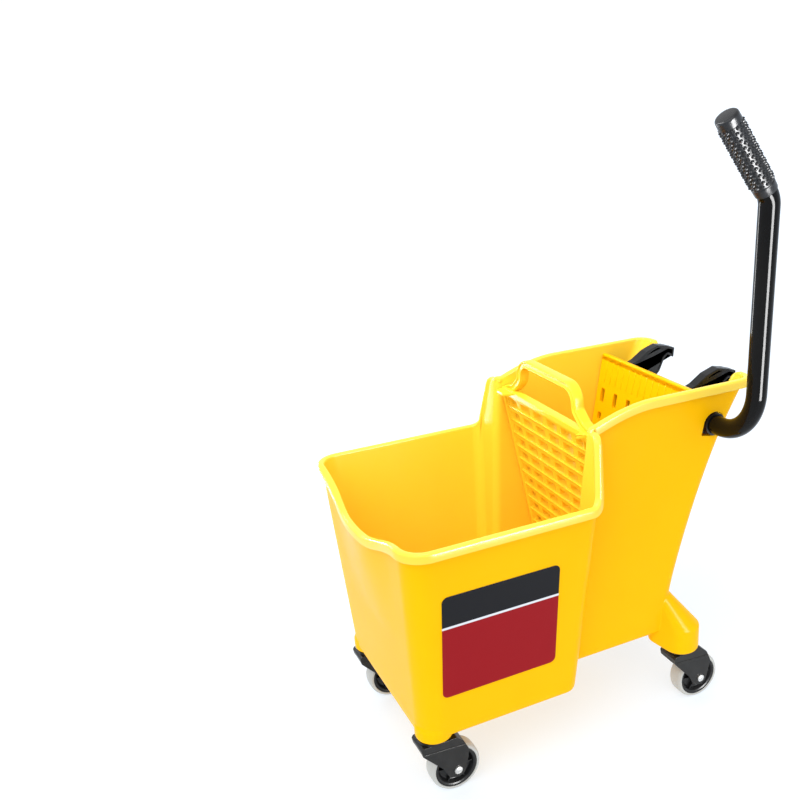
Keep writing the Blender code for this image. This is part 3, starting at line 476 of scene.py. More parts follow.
def plan(u, z):
    """Point and outward normal of the outer wall on the +Y half.

    u runs from the front centre to the rear centre.
    """
    front_x, front_half = lerp_table(FRONT_X, z), lerp_table(FRONT_HALF, z)
    step_x, rear_half = lerp_table(STEP_X, z), lerp_table(REAR_HALF, z)
    rear_x = curve_table(REAR_X, z)
    for name, count in SEGMENTS:
        if u <= count:
            break
        u -= count
    t = min(1.0, u / count)
    if name == "front":
        y = (front_half - FRONT_CORNER_R) * t
        reach = POUR_BULGE * max(0.0, min(1.0, (z - 0.21) / (FRONT_RIM_Z - POUR_DIP - 0.21)))
        phase = min(1.0, y / POUR_HALF)
        slope = -reach * math.pi / 2 / POUR_HALF * math.sin(math.pi * phase)
        bulge = reach * math.cos(math.pi / 2 * phase) ** 2
        return Vector((front_x - bulge, y)), Vector((-1, -slope)).normalized()
    if name == "side":
        start, end = front_x + FRONT_CORNER_R, step_x - SHOULDER_R
        return Vector((start + (end - start) * t, front_half)), Vector((0, 1))
    if name == "flank":
        start, end = step_x + VALLEY_R, rear_x - REAR_CORNER_R
        return Vector((start + (end - start) * t, rear_half)), Vector((0, 1))
    if name == "rear":
        return Vector((rear_x, (rear_half - REAR_CORNER_R) * (1 - t))), Vector((1, 0))
    centre, radius, start, end = {
        "front_corner": ((front_x + FRONT_CORNER_R, front_half - FRONT_CORNER_R), FRONT_CORNER_R, 180, 90),
        "shoulder": ((step_x - SHOULDER_R, front_half - SHOULDER_R), SHOULDER_R, 90, 0),
        "valley": ((step_x + VALLEY_R, rear_half + VALLEY_R), -VALLEY_R, 0, 90),
        "rear_corner": ((rear_x - REAR_CORNER_R, rear_half - REAR_CORNER_R), REAR_CORNER_R, 90, 0)}[name]
    angle = math.radians(start + (end - start) * t)
    normal = Vector((math.cos(angle), math.sin(angle)))
    return Vector(centre) + normal * radius, normal


def column(segment, t=0.0):
    """u at a share t of the way along a segment."""
    start = 0
    for name, count in SEGMENTS:
        if name == segment:
            return start + count * t
        start += count
    raise KeyError(segment)


def rim_lengths():
    """Length along the rim at each whole u."""
    lengths, last = [0.0], plan(0, FRONT_RIM_Z)[0]
    for u in range(1, COLUMNS + 1):
        here = plan(u, FRONT_RIM_Z if u <= column("valley") else REAR_RIM_Z)[0]
        lengths.append(lengths[-1] + (here - last).length)
        last = here
    return lengths


RIM_LENGTHS = rim_lengths()


def length_at(u):
    k = min(int(u), COLUMNS - 1)
    return RIM_LENGTHS[k] + (RIM_LENGTHS[k + 1] - RIM_LENGTHS[k]) * (u - k)


def column_at(length):
    """The u of a length along the rim."""
    for k in range(COLUMNS):
        if length <= RIM_LENGTHS[k + 1]:
            return k + (length - RIM_LENGTHS[k]) / (RIM_LENGTHS[k + 1] - RIM_LENGTHS[k])
    return float(COLUMNS)


def rim_line():
    """(length, height) points of the rim's top from the front centre to the rear centre."""
    corners = []
    for u in range(int(column("side"))):
        y = plan(u, FRONT_RIM_Z)[0].y
        corners.append((length_at(u), FRONT_RIM_Z - POUR_DIP * (1 - smooth_step((y - 0.030) / 0.115)), 0))
    riser, valley_end = length_at(column("shoulder", 0.42)), length_at(column("valley", 1.0))
    corners += [(riser, FRONT_RIM_Z, 0.011), (riser + 0.004, RISER_TOP_Z - 0.001, 0.010)]
    flat = length_at(column("rear_corner"))
    length = valley_end
    while length < flat:
        rise = math.sin(math.pi / 2 * min(1.0, (length - valley_end + 0.012) / 0.100))
        corners.append((length, RISER_TOP_Z + (REAR_RIM_Z - RISER_TOP_Z) * rise, 0))
        length += 0.006
    drop = length_at(column("rear", 1 - REAR_GAP_HALF / (lerp_table(REAR_HALF, REAR_RIM_Z) - REAR_CORNER_R)))
    corners += [(drop, REAR_RIM_Z, 0.009), (drop + 0.0015, REAR_GAP_Z, 0.012),
                (RIM_LENGTHS[-1], REAR_GAP_Z, 0)]
    line = rounded(corners, 12)
    dense = [line[0]]
    for point in line[1:]:
        step = point - dense[-1]
        count = max(1, math.ceil(step.length / 0.0026))
        start = dense[-1]
        dense += [start + step * (k + 1) / count for k in range(count)]
    return dense


RIM_LINE = rim_line()


def rim_height(length):
    """Height of the rim's top at a length; the lower side of a steep stretch."""
    best = None
    for a, b in zip(RIM_LINE, RIM_LINE[1:]):
        if a.x <= length <= b.x:
            t = (length - a.x) / (b.x - a.x) if b.x > a.x else 0.0
            z = a.y + (b.y - a.y) * t
            best = z if best is None else min(best, z)
    return RIM_LINE[-1].y if best is None else best


def rim_section():
    """The rolled rim's section as (outward, up) from the wall's outer face at the rim's top."""
    section = rounded([(0.0000, -LIP_DROP, 0), (LIP_OUT, -LIP_DROP, 0.0012), (LIP_OUT, 0.0, 0.0032),
                       (-WALL - 0.00005, 0.0, 0.0026), (-WALL - 0.00005, -0.0050, 0.0),
                       (-0.0020, -0.0075, 0)], 6)
    return [(p.x, p.y) for p in section]


def build_rim(mat):
    """The rolled rim, one section pushed along the rim's line."""
    bm = bmesh.new()
    half = []
    for point in RIM_LINE:
        place, normal = plan(column_at(point.x), point.y)
        half.append((Vector((place.x, place.y, point.y)), Vector((normal.x, normal.y, 0))))
    half[0][0].y = half[-1][0].y = 0.0
    flip = Vector((1, -1, 1))
    path = half + [(p * flip, n * flip) for p, n in reversed(half[1:-1])]
    rings = []
    for i, (point, normal) in enumerate(path):
        tangent = (path[(i + 1) % len(path)][0] - path[i - 1][0]).normalized()
        out = (normal - tangent * normal.dot(tangent)).normalized()
        up = tangent.cross(out)
        rings.append([bm.verts.new(point + out * a + up * b) for a, b in rim_section()])
    grid_faces(bm, rings, closed_stack=True)
    return piece("bucket_rim", bm, mat, DATUM, "bucket", smooth=40)


def floor_height(u):
    """Height of the underside: the wringer end's floor is a step higher."""
    start, end = column("shoulder", 0.4), column("valley", 1.0)
    return FRONT_FLOOR_Z + (REAR_FLOOR_Z - FRONT_FLOOR_Z) * smooth_step((u - start) / (end - start))


def wall_rows(u):
    """(inset, height) from the underside, up the outer face, over the hidden top and down the inner face."""
    low, length = floor_height(u), length_at(u)
    top = min(rim_height(max(0.0, length - 0.003)), rim_height(min(RIM_LENGTHS[-1], length + 0.003))) - 0.0035
    rows = [(FLOOR_FILLET * (1 - math.sin(a)), low + FLOOR_FILLET * (1 - math.cos(a)))
            for a in (math.pi / 2 * k / FILLET_STEPS for k in range(FILLET_STEPS + 1))]
    bottom = low + FLOOR_FILLET
    rows += [(0, bottom + (top - bottom) * k / WALL_STEPS) for k in range(1, WALL_STEPS + 1)]
    bottom = low + WALL + FLOOR_FILLET
    rows += [(WALL, top + (bottom - top) * k / WALL_STEPS) for k in range(WALL_STEPS + 1)]
    rows += [(WALL + FLOOR_FILLET * (1 - math.cos(a)), low + WALL + FLOOR_FILLET * (1 - math.sin(a)))
             for a in (math.pi / 2 * k / FILLET_STEPS for k in range(1, FILLET_STEPS + 1))]
    return rows


def build_wall(mats):
    """The bucket's drafted walls and floors, with the shaft's holes cut through the flanks."""
    bm = bmesh.new()
    columns = []
    for u in range(COLUMNS + 1):
        rows = []
        for inset, z in wall_rows(u):
            place, normal = plan(u, z)
            rows.append((place.x - normal.x * inset, max(0.0, place.y - normal.y * inset), z))
        columns.append(rows)
    order = [(u, 1) for u in range(COLUMNS + 1)] + [(u, -1) for u in range(COLUMNS - 1, 0, -1)]
    rings = []
    for j in range(len(columns[0])):
        points = [(columns[u][j], side) for u, side in order]
        rings.append([bm.verts.new((x, side * y, z)) for (x, y, z), side in points])
    grid_faces(bm, rings[:WALL_TOP_ROW + 1])
    outside = len(bm.faces)
    grid_faces(bm, rings[WALL_TOP_ROW:])
    step, rear = int(column("shoulder")), int(column("flank"))
    for ring in (rings[-1], rings[0]):
        count = len(ring)
        bm.faces.new([ring[u] for u in range(-step, step + 1)])
        bm.faces.new([ring[u] for u in range(rear, count - rear + 1)])
        for u in range(step, rear):
            bm.faces.new((ring[u], ring[u + 1], ring[count - u - 1], ring[count - u]))
    under = len(bm.faces) - 2 - (rear - step)
    # The inner faces take the paler inside copy of the yellow, painted light for the brighter-lit interior.
    for index, face in enumerate(bm.faces):
        face.material_index = 1 if outside <= index < under else 0
    wall = piece("bucket_wall", bm, mats["yellow"], DATUM, "bucket", ("bucket_shell",),
                 smooth=30)
    wall.data.materials.append(mats["inside"])
    hole = rounded_loop([(*p, 0) for p in arc((0, 0), 0.0168, 169, -99, 40)] + [(-0.0197, -0.0138, 0.0015)],
                        0, 5)
    cutter("shaft_holes", prism(hole, -0.160, 0.160), SHAFT, wall)
    return wall


def build_feet(mat):
    """Caster feet that swell out of the bucket's corners: a hull and a patch of wall, fused and smoothed."""
    for name in CORNERS:
        axis = Vector(JOINTS["swivel_turn_" + name]["pos_m"]) - DATUM
        side = math.copysign(1, axis.y)
        front = name.startswith("front")
        axis.x += FRONT_FOOT_INSET if front else 0.0
        bm = bmesh.new()
        shift = (0.012, -0.010) if front else (-0.024, -0.020)
        inner = Vector((axis.x + shift[0], axis.y + side * shift[1]))
        wide = FRONT_FOOT_R if front else FOOT_R
        rings = [(axis, wide - 0.003, FOOT_BOTTOM_Z), (axis, wide, FOOT_BOTTOM_Z + 0.003)]
        if front:
            rings += [(axis, wide, 0.106), (inner, 0.018, 0.127)]
        else:
            rings += [(axis, wide, 0.126), (inner, 0.012, 0.176)]
        rings += [(inner, 0.014, FOOT_BOTTOM_Z + 0.010)]
        for centre, radius, z in rings:
            for a, b in circle(radius, 48):
                bm.verts.new((centre.x + a, centre.y + b, z))
        bmesh.ops.convex_hull(bm, input=bm.verts)
        loose = [v for v in bm.verts if not v.link_faces]
        bmesh.ops.delete(bm, geom=loose, context="VERTS")
        if front:
            span = [column("front", 0.72), column("side", 0.22)]
        else:
            span = [column("flank", 0.62), column("rear", 0.42)]
        patch = []
        for k in range(41):
            u = span[0] + (span[1] - span[0]) * k / 40
            low = floor_height(u) + FLOOR_FILLET
            rows = []
            for inset in (0.0004, 0.0036):
                levels = range(13) if inset < 0.001 else range(12, -1, -1)
                for level in levels:
                    z = low + (0.215 - low) * level / 12
                    place, normal = plan(u, z)
                    near = place - normal * inset
                    rows.append(bm.verts.new((near.x, side * near.y, z)))
            patch.append(rows)
        grid_faces(bm, patch, capped=True)
        foot = piece("bucket_foot_" + name, bm, mat, DATUM, "bucket", smooth=180)
        fuse = foot.modifiers.new("fuse", "REMESH")
        fuse.mode = "VOXEL"
        fuse.voxel_size = 0.0013
        fuse.use_smooth_shade = True
        relax = foot.modifiers.new("relax", "SMOOTH")
        relax.factor = 0.5
        relax.iterations = 14


# --- Screen and press plate ---------------------------------------------------------------------------

def inside_half(z):
    """Half the width between the wringer section's walls."""
    return lerp_table(REAR_HALF, z) - WALL


def holed_sheet(holes, low, high, place, bm):
    """A flat sheet with rounded holes, each as (centre a, centre b, half a, half b, corner radius).

    low and high are the sheet's corners in its own (a, b) frame. The holes form a full grid of rows
    and columns.
    place(a, b, depth) gives a point.
    """
    rows = sorted({round(h[1], 6) for h in holes})
    columns = sorted({round(h[0], 6) for h in holes})
    edges_a = [low[0]] + [(p + q) / 2 for p, q in zip(columns, columns[1:])] + [high[0]]
    edges_b = [low[1]] + [(p + q) / 2 for p, q in zip(rows, rows[1:])] + [high[1]]
    sizes = {(round(h[0], 6), round(h[1], 6)): h[2:] for h in holes}
    cache = {}

    def vert(a, b, depth):
        key = (round(a, 6), round(b, 6), depth)
        if key not in cache:
            cache[key] = bm.verts.new(place(a, b, depth))
        return cache[key]

    for i, ca in enumerate(columns):
        for j, cb in enumerate(rows):
            cell = (edges_a[i], edges_b[j]), (edges_a[i + 1], edges_b[j + 1])
            half_a, half_b, corner = sizes[ca, cb]
            inner = rounded_loop([(ca - half_a, cb - half_b), (ca + half_a, cb - half_b),
                                  (ca + half_a, cb + half_b), (ca - half_a, cb + half_b)], corner, 4)
            count = len(inner)
            for depth in (0, 1):
                outer = [vert(*cell[0], depth), vert(cell[1][0], cell[0][1], depth), vert(*cell[1], depth),
                         vert(cell[0][0], cell[1][1], depth)]
                ring = [vert(a, b, depth) for a, b in inner]
                quarter = count // 4
                for side in range(4):
                    start = side * quarter + quarter // 2
                    run = [ring[(start + k) % count] for k in range(quarter + 1)]
                    bm.faces.new([outer[side], outer[(side + 1) % 4], *reversed(run)])
            for k in range(count):
                a, b = inner[k], inner[(k + 1) % count]
                bm.faces.new((vert(*a, 0), vert(*b, 0), vert(*b, 1), vert(*a, 1)))
    lines = [[(a, low[1]) for a in edges_a], [(high[0], b) for b in edges_b],
             [(a, high[1]) for a in reversed(edges_a)], [(low[0], b) for b in reversed(edges_b)]]
    for line in lines:
        for p, q in zip(line, line[1:]):
            bm.faces.new((vert(*p, 0), vert(*q, 0), vert(*q, 1), vert(*p, 1)))
    return bm


def screen_x(z):
    """The screen's front face at height z."""
    return SCREEN_TOP_X + (SCREEN_TOP_Z - z) * math.tan(SCREEN_LEAN)


def build_screen(mat):
    """The leaning screen: rounded openings, ledges, edge strips, shelf, lugs and loop handle."""
    height = (SCREEN_TOP_Z - SCREEN_FOOT_Z) / math.cos(SCREEN_LEAN)
    top_half = inside_half(SCREEN_TOP_Z) - 0.0008
    centres = [height - 0.019 - (SLOT_ROWS - 1 - j) * SLOT_PITCH_Z for j in range(SLOT_ROWS)]
    holes = [((i - (SLOT_COLUMNS - 1) / 2) * SLOT_PITCH_Y, s, SLOT_WIDTH / 2, SLOT_HEIGHT / 2, 0.0016)
             for i in range(SLOT_COLUMNS) for s in centres]

    def place(y, s, depth):
        z = SCREEN_FOOT_Z + s * math.cos(SCREEN_LEAN)
        narrow = (inside_half(z) - 0.0008) / top_half
        return (screen_x(z) + depth * SCREEN_THICK, y * narrow, z)

    bm = holed_sheet(holes, (-top_half, 0.0), (top_half, height), place, bmesh.new())
    screen = piece("screen_panel", bm, mat, DATUM, "bucket", ("wringer_screen",),
                   bevel=0.0007)

    bm = bmesh.new()
    for s in centres:
        z = SCREEN_FOOT_Z + (s - SLOT_HEIGHT / 2 - 0.0002) * math.cos(SCREEN_LEAN)
        half = inside_half(z) - 0.0105
        x = screen_x(z)
        ledge = [(x + 0.004, z), (x - 0.0026, z - 0.0003), (x - 0.0026, z - 0.0016), (x + 0.0012, z - 0.0062),
                 (x + 0.004, z - 0.0062)]
        prism(ledge, -half, half, bm=bm)
    piece("screen_ledges", bm, mat, DATUM, "bucket", bevel=0.0005)

    bm = bmesh.new()
    for side in (-1, 1):
        for inset, wide, proud in ((0.0052, 0.0040, 0.0030), (0.0170, 0.0016, 0.0008)):
            rings = []
            for z in (SCREEN_FOOT_Z + 0.004, SCREEN_TOP_Z - 0.004):
                y, x = side * (inside_half(z) - inset), screen_x(z)
                rings.append([bm.verts.new((x + a, y + b, z)) for a, b in
                              ((0.004, -wide), (-proud, -wide * 0.6), (-proud, wide * 0.6), (0.004, wide))])
            grid_faces(bm, rings, capped=True)
    z = SCREEN_TOP_Z
    bar = [(screen_x(z) - 0.0012, z - 0.0085), (screen_x(z) - 0.0012, z - 0.0004),
           (screen_x(z) + SCREEN_THICK, z - 0.0004), (screen_x(z) + SCREEN_THICK, z - 0.0085)]
    prism(bar, -inside_half(z) + 0.001, inside_half(z) - 0.001, bm=bm)
    piece("screen_border", bm, mat, DATUM, "bucket", bevel=0.0008, segments=3)
    build_screen_foot(mat)
    build_loop_handle(mat)
    return screen


def build_screen_foot(mat):
    """The drain shelf under the wringing chamber, and the lugs that hold the plate's pivot pin."""
    bm = bmesh.new()
    shelf_half = inside_half(SCREEN_FOOT_Z) - 0.0035
    holes = [((i - 2.5) * 0.030, x, 0.010, 0.0033, 0.0014) for i in range(6) for x in (0.3450, 0.3588)]

    def place(y, x, depth):
        return (x, y, SHELF_Z + depth * SHELF_THICK)

    holed_sheet(holes, (-shelf_half, 0.326), (shelf_half, 0.370), place, bm)
    piece("drain_shelf_fine", bm, mat, DATUM, "bucket", ("drain_shelf",), bevel=0.0006)
    for side, name in ((-1, "near"), (1, "far")):
        lug = [(0.330, 0.1545), (0.386, 0.1545)] + arc((PIVOT_X, PIVOT_Z), 0.0105, -90, 90, 24)[1:]
        lug += [(0.376, 0.1765), (0.366, 0.1625), (0.330, 0.1625)]
        obj = piece("pivot_lug_" + name, prism(lug, side * 0.078 - 0.006, side * 0.078 + 0.006), mat, DATUM,
                    "bucket", bevel=0.0008)
        cutter("lug_bore_" + name, turned([(0, -0.1), (0.0044, -0.1), (0.0044, 0.1), (0, 0.1)], 32, "Y"),
               PIVOT, obj)


def build_loop_handle(mat):
    """The arched handle over the screen, grooved along its front, and the pointed ledges beside its feet."""
    half_line = rounded([(0.1120, 0.4400, 0), (0.0900, 0.4480, 0.012), (0.0730, 0.4620, 0.012),
                         (0.0690, 0.4910, 0.022), (0.0, 0.4910, 0)], 14)
    line = [Vector((HANDLE_X, p.x, p.y)) for p in half_line]
    line += [Vector((p.x, -p.y, p.z)) for p in reversed(line[:-1])]
    dense = [line[0]]
    for point in line[1:]:
        step = point - dense[-1]
        count, start = max(1, math.ceil(step.length / 0.003)), dense[-1]
        dense += [start + step * (k + 1) / count for k in range(count)]
    deep, thick, groove = 0.0075, 0.0055, 0.0018
    section = rounded_loop([(-deep, -thick, 0.002), (deep, -thick, 0.003), (deep, thick, 0.003),
                            (-deep, thick, 0.002), (-deep, 0.0032, 0.0006), (groove - deep, 0.0018, 0.0010),
                            (groove - deep, -0.0018, 0.0010), (-deep, -0.0032, 0.0006)], 0.001, 4)
    bm = swept(bmesh.new(), dense, section, side=Vector((1, 0, 0)))
    piece("loop_handle_fine", bm, mat, DATUM, "bucket", ("loop_handle",), smooth=40)
    bm = bmesh.new()
    for side, reach in ((-1, 0.0935), (1, 0.0760)):
        ledge = rounded_loop([(0.2600, side * (reach + 0.010), 0.004), (0.2600, side * 0.1085, 0.005),
                              (0.2800, side * 0.1125, 0.001), (0.2800, side * reach, 0.001)], 0.003, 6)
        prism(ledge, 0.4402, 0.4432, "XY", bm)
    piece("handle_ledges", bm, mat, DATUM, "bucket", bevel=0.0010, segments=4)


def build_plate(mat):
    """The press plate: slots, flutes, a turned top flange, ribs behind, and its hinge barrel."""
    turn = Matrix.Rotation(PLATE_LEAN, 3, "Y")

    def half_at(s):
        return inside_half(PIVOT_Z + s * math.cos(PLATE_LEAN)) - 0.0022

    rows = ((0.088, 0.008), (0.132, 0.008), (0.176, 0.008), (0.2125, 0.006), (0.2440, 0.0105))
    holes = [((i - 3) * 0.0330, s, 0.0045, half, 0.0020 if half < 0.01 else 0.0016)
             for i in range(7) for s, half in rows]

    def place(y, s, depth):
        return turn @ Vector((-0.0045 + depth * 0.005, y * half_at(s) / half_at(PLATE_HEIGHT), s))

    top_half = half_at(PLATE_HEIGHT)
    bm = holed_sheet(holes, (-top_half, 0.0), (top_half, PLATE_HEIGHT - 0.003), place, bmesh.new())
    plate = piece("press_plate_panel", bm, mat, PIVOT, "press_plate", ("press_plate",),
                  bevel=0.0006)

    bm = bmesh.new()
    flange = rounded_loop([(-0.0045, PLATE_HEIGHT - 0.009, 0.0004), (0.0002, PLATE_HEIGHT - 0.009, 0.0004),
                           (0.0008, PLATE_HEIGHT - 0.0058, 0.0014), (0.0055, PLATE_HEIGHT - 0.0050, 0.001),
                           (0.0053, PLATE_HEIGHT - 0.0002, 0.0018), (-0.0045, PLATE_HEIGHT - 0.0002, 0.0018)],
                           0.001, 5)
    prism([(x, z) for x, z in flange], -top_half + 0.0002, top_half - 0.0002, bm=bm)
    for k in range(4):
        y = (k - 1.5) * 0.062
        prism([(-0.001, 0.004), (0.007, 0.012), (0.0055, 0.150), (-0.001, 0.225)], y - 0.0018, y + 0.0018,
              bm=bm)
    for i in range(15):
        y = (i - 7) * 0.0140
        flute = [(-0.0040, 0.2630), (-0.0051, 0.2650), (-0.0051, 0.2960), (-0.0040, 0.2980)]
        prism(flute, y - 0.0011, y + 0.0011, bm=bm)
    bmesh.ops.rotate(bm, verts=bm.verts, cent=(0, 0, 0), matrix=turn)
    piece("press_plate_ribs", bm, mat, PIVOT, "press_plate", bevel=0.0005)

    barrel_half = half_at(0) - 0.001
    bm = bmesh.new()
    stops = [-barrel_half, -0.0848, -0.0712, 0.0712, 0.0848, barrel_half]
    for low, high in zip(stops[::2], stops[1::2]):
        turned([(0.0044, low), (0.0072, low), (0.0080, low + 0.0008), (0.0080, high - 0.0008), (0.0072, high),
                (0.0044, high)],
               40, "Y", bm)
    piece("press_plate_barrel", bm, mat, PIVOT, "press_plate", smooth=40)
    tool = bmesh.new()
    for side in (-1, 1):
        turned([(0, side * 0.078 - 0.0068), (0.0125, side * 0.078 - 0.0068), (0.0125, side * 0.078 + 0.0068),
                (0, side * 0.078 + 0.0068)], 32, "Y", tool)
    turned([(0, -0.12), (0.0046, -0.12), (0.0046, -0.0849), (0, -0.0849)], 32, "Y", tool)
    turned([(0, -0.0711), (0.0046, -0.0711), (0.0046, 0.0711), (0, 0.0711)], 32, "Y", tool)
    turned([(0, 0.0849), (0.0046, 0.0849), (0.0046, 0.12), (0, 0.12)], 32, "Y", tool)
    cutter("plate_gaps", tool, PIVOT, plate)
    return plate


# --- Lever --------------------------------------------------------------------------------------------

def lever_line():
    """The tube's centre line from the shaft's far end to the grip, and the grip's foot and direction."""
    line = [Vector((0, SHAFT_FAR_Y - (SHAFT_FAR_Y - LEVER_Y - LOWER_BEND_R) * k / 24, 0)) for k in range(24)]
    bend = arc((LEVER_Y + LOWER_BEND_R, LOWER_BEND_R), LOWER_BEND_R, 270, 180, 28)
    line += [Vector((0, y, z)) for y, z in bend]
    line += [Vector((0, LEVER_Y, LOWER_BEND_R + (UPPER_BEND_Z - LOWER_BEND_R) * k / 24))
             for k in range(1, 24)]
    for k in range(15):
        t = GRIP_LEAN * k / 14
        lean, rise = UPPER_BEND_R * (1 - math.cos(t)), UPPER_BEND_R * math.sin(t)
        line.append(Vector((-lean, LEVER_Y, UPPER_BEND_Z + rise)))
    along = Vector((-math.sin(GRIP_LEAN), 0, math.cos(GRIP_LEAN)))
    foot = line[-1]
    line += [foot + along * (GRIP_LENGTH - 0.010) * k / 8 for k in range(1, 9)]
    return line, foot, along


def build_lever(mats):
    line, foot, along = lever_line()
    bm = swept(bmesh.new(), line, circle(TUBE_R, 56))
    piece("lever_tube_fine", bm, mats["tube"], SHAFT, "lever", ("lever_tube",), smooth=50)
    build_grip(mats["rubber"], SHAFT + foot + along * 0.0004)
    for side, name in ((1, "far"), (-1, "near")):
        build_arm(mats, side, name)
    coil, turns, per_turn = [], 4, 40
    for k in range(turns * per_turn + 1):
        a = 2 * math.pi * k / per_turn
        coil.append(Vector((0.0158 * math.cos(a), -0.0085 + 0.0034 * k / per_turn, 0.0158 * math.sin(a))))
    tail = Vector((0.001, 0, 0.012))
    coil = [coil[0] - Vector((-tail.x, 0, tail.z)) * (1 - k / 5) for k in range(5)] + coil
    coil += [coil[-1] + tail * (k + 1) / 5 for k in range(5)]
    bm = swept(bmesh.new(), coil, circle(0.0011, 12))
    piece("return_spring_fine", bm, mats["steel"], SHAFT, "lever", ("return_spring",),
          smooth=60)
    cap = rounded([(0.0131, 0.1235, 0), (0.0175, 0.1235, 0.0010), (0.0175, 0.1290, 0.0016),
                   (0.0150, 0.1315, 0.0010), (0.0, 0.1315, 0)], 5)
    bm = turned([(p.x, p.y) for p in cap] + [(0, 0.1285), (0.0131, 0.1285)], 56, "Y")
    piece("shaft_cap_fine", bm, mats["black"], SHAFT, "lever", ("shaft_end_cap",), smooth=40)


def build_grip(mat, origin):
    """The rubber grip: a sleeve with plain collars and staggered rows of pointed studs."""
    profile = rounded([(TUBE_R + 0.0003, 0.0, 0), (COLLAR_R, 0.0, 0.0008),
                       (COLLAR_R + 0.0004, 0.0100, 0.0010), (SLEEVE_R, 0.0115, 0.0008),
                       (SLEEVE_R, 0.0935, 0.0008), (COLLAR_R + 0.0004, 0.0948, 0.0008),
                       (COLLAR_R, GRIP_LENGTH, 0.0034), (0.0, GRIP_LENGTH, 0)], 5)
    bm = turned([(p.x, p.y) for p in profile] + [(0, GRIP_LENGTH - 0.008),
                                                 (TUBE_R + 0.0003, GRIP_LENGTH - 0.008)], 72)
    around, along = 14, 17
    for j in range(along):
        z = 0.0145 + j * 0.0770 / (along - 1)
        for k in range(around):
            turn = Matrix.Rotation(2 * math.pi * (k + 0.5 * (j % 2)) / around, 3, "Z")
            rings = []
            for sunk, wide in ((0.0029, 0.0025), (0.0019, 0.0021), (0.0007, 0.0013), (0.0, 0.0006)):
                rings.append([bm.verts.new(Vector((0, 0, z)) + turn @ Vector((STUD_R - sunk, a, b)))
                              for a, b in circle(wide, 8)])
            grid_faces(bm, rings, capped=True)
    bmesh.ops.rotate(bm, verts=bm.verts, cent=(0, 0, 0), matrix=Matrix.Rotation(-GRIP_LEAN, 3, "Y"))
    piece("lever_grip_studded", bm, mat, origin, "lever", ("lever_grip",), smooth=40)


def arm_outline(grow=0.0):
    """A cam arm's outline about the shaft, (x, z); grow moves it outwards."""
    outline = [(-0.0165, 0.0095, 0.002), (-0.0165, 0.0200, 0.003), (-0.0150, 0.0310, 0.002),
               (-0.0120, 0.0340, 0.003), (0.0030, 0.0395, 0.004), (0.0210, 0.0510, 0.004),
               (0.0410, 0.0575, 0.003), (0.0560, 0.0545, 0.002), (0.0710, 0.0495, 0.0012),
               (0.0695, 0.0350, 0.0012), (0.0590, 0.0410, 0.0015), (0.0530, 0.0360, 0.002),
               (0.0495, 0.0280, 0.004), (0.0450, 0.0180, 0.006), (0.0330, 0.0060, 0.008),
               (0.0195, 0.0, 0.003)]
    outline += [(x, z, 0) for x, z in arc((0, 0), ARM_HUB_R, -8, -142, 30)]
    points = [Vector(p) for p in rounded([outline[-1], *outline, outline[0]], 4)[1:-1]]
    out = []
    for i, point in enumerate(points):
        along = (points[(i + 1) % len(points)] - points[i - 1]).normalized()
        out.append(point + Vector((-along.y, along.x)) * grow)
    return [tuple(p) for p in out]


def build_arm(mats, side, name):
    """A cam arm: a web between raised edges, with a hooked tip and a hub; its clamp screw is the kept CAD node.
    """
    low, high = side * ARM_Y - ARM_THICK / 2, side * ARM_Y + ARM_THICK / 2
    outer, rounding, rib, web = (arm_outline(grow) for grow in (0.0, -0.0007, -0.0030, -0.0034))
    bm = bmesh.new()
    stack = [(web, low + 0.0013), (rib, low), (rounding, low), (outer, low + 0.0007), (outer, high - 0.0007),
             (rounding, high), (rib, high), (web, high - 0.0013)]
    rings = [[bm.verts.new((x, y, z)) for x, z in outline] for outline, y in stack]
    grid_faces(bm, rings, capped=True)
    arm = piece("cam_arm_fine_" + name, bm, mats["black"], SHAFT, "lever",
                ("cam_arm_" + name,))
    bore = turned([(0, -0.02), (TUBE_R + 0.0002, -0.02), (TUBE_R + 0.0002, 0.02), (0, 0.02)], 48, "Y")
    cutter("arm_bore_" + name, bore, SHAFT + Vector((0, side * ARM_Y, 0)), arm)
    hub = turned([(TUBE_R + 0.0002, low), (0.0168, low), (0.0174, low + 0.0006), (0.0174, high - 0.0006),
                  (0.0168, high), (TUBE_R + 0.0002, high)], 56, "Y")
    piece("arm_hub_" + name, hub, mats["black"], SHAFT, "lever", smooth=40)


# --- Casters ------------------------------------------------------------------------------------------

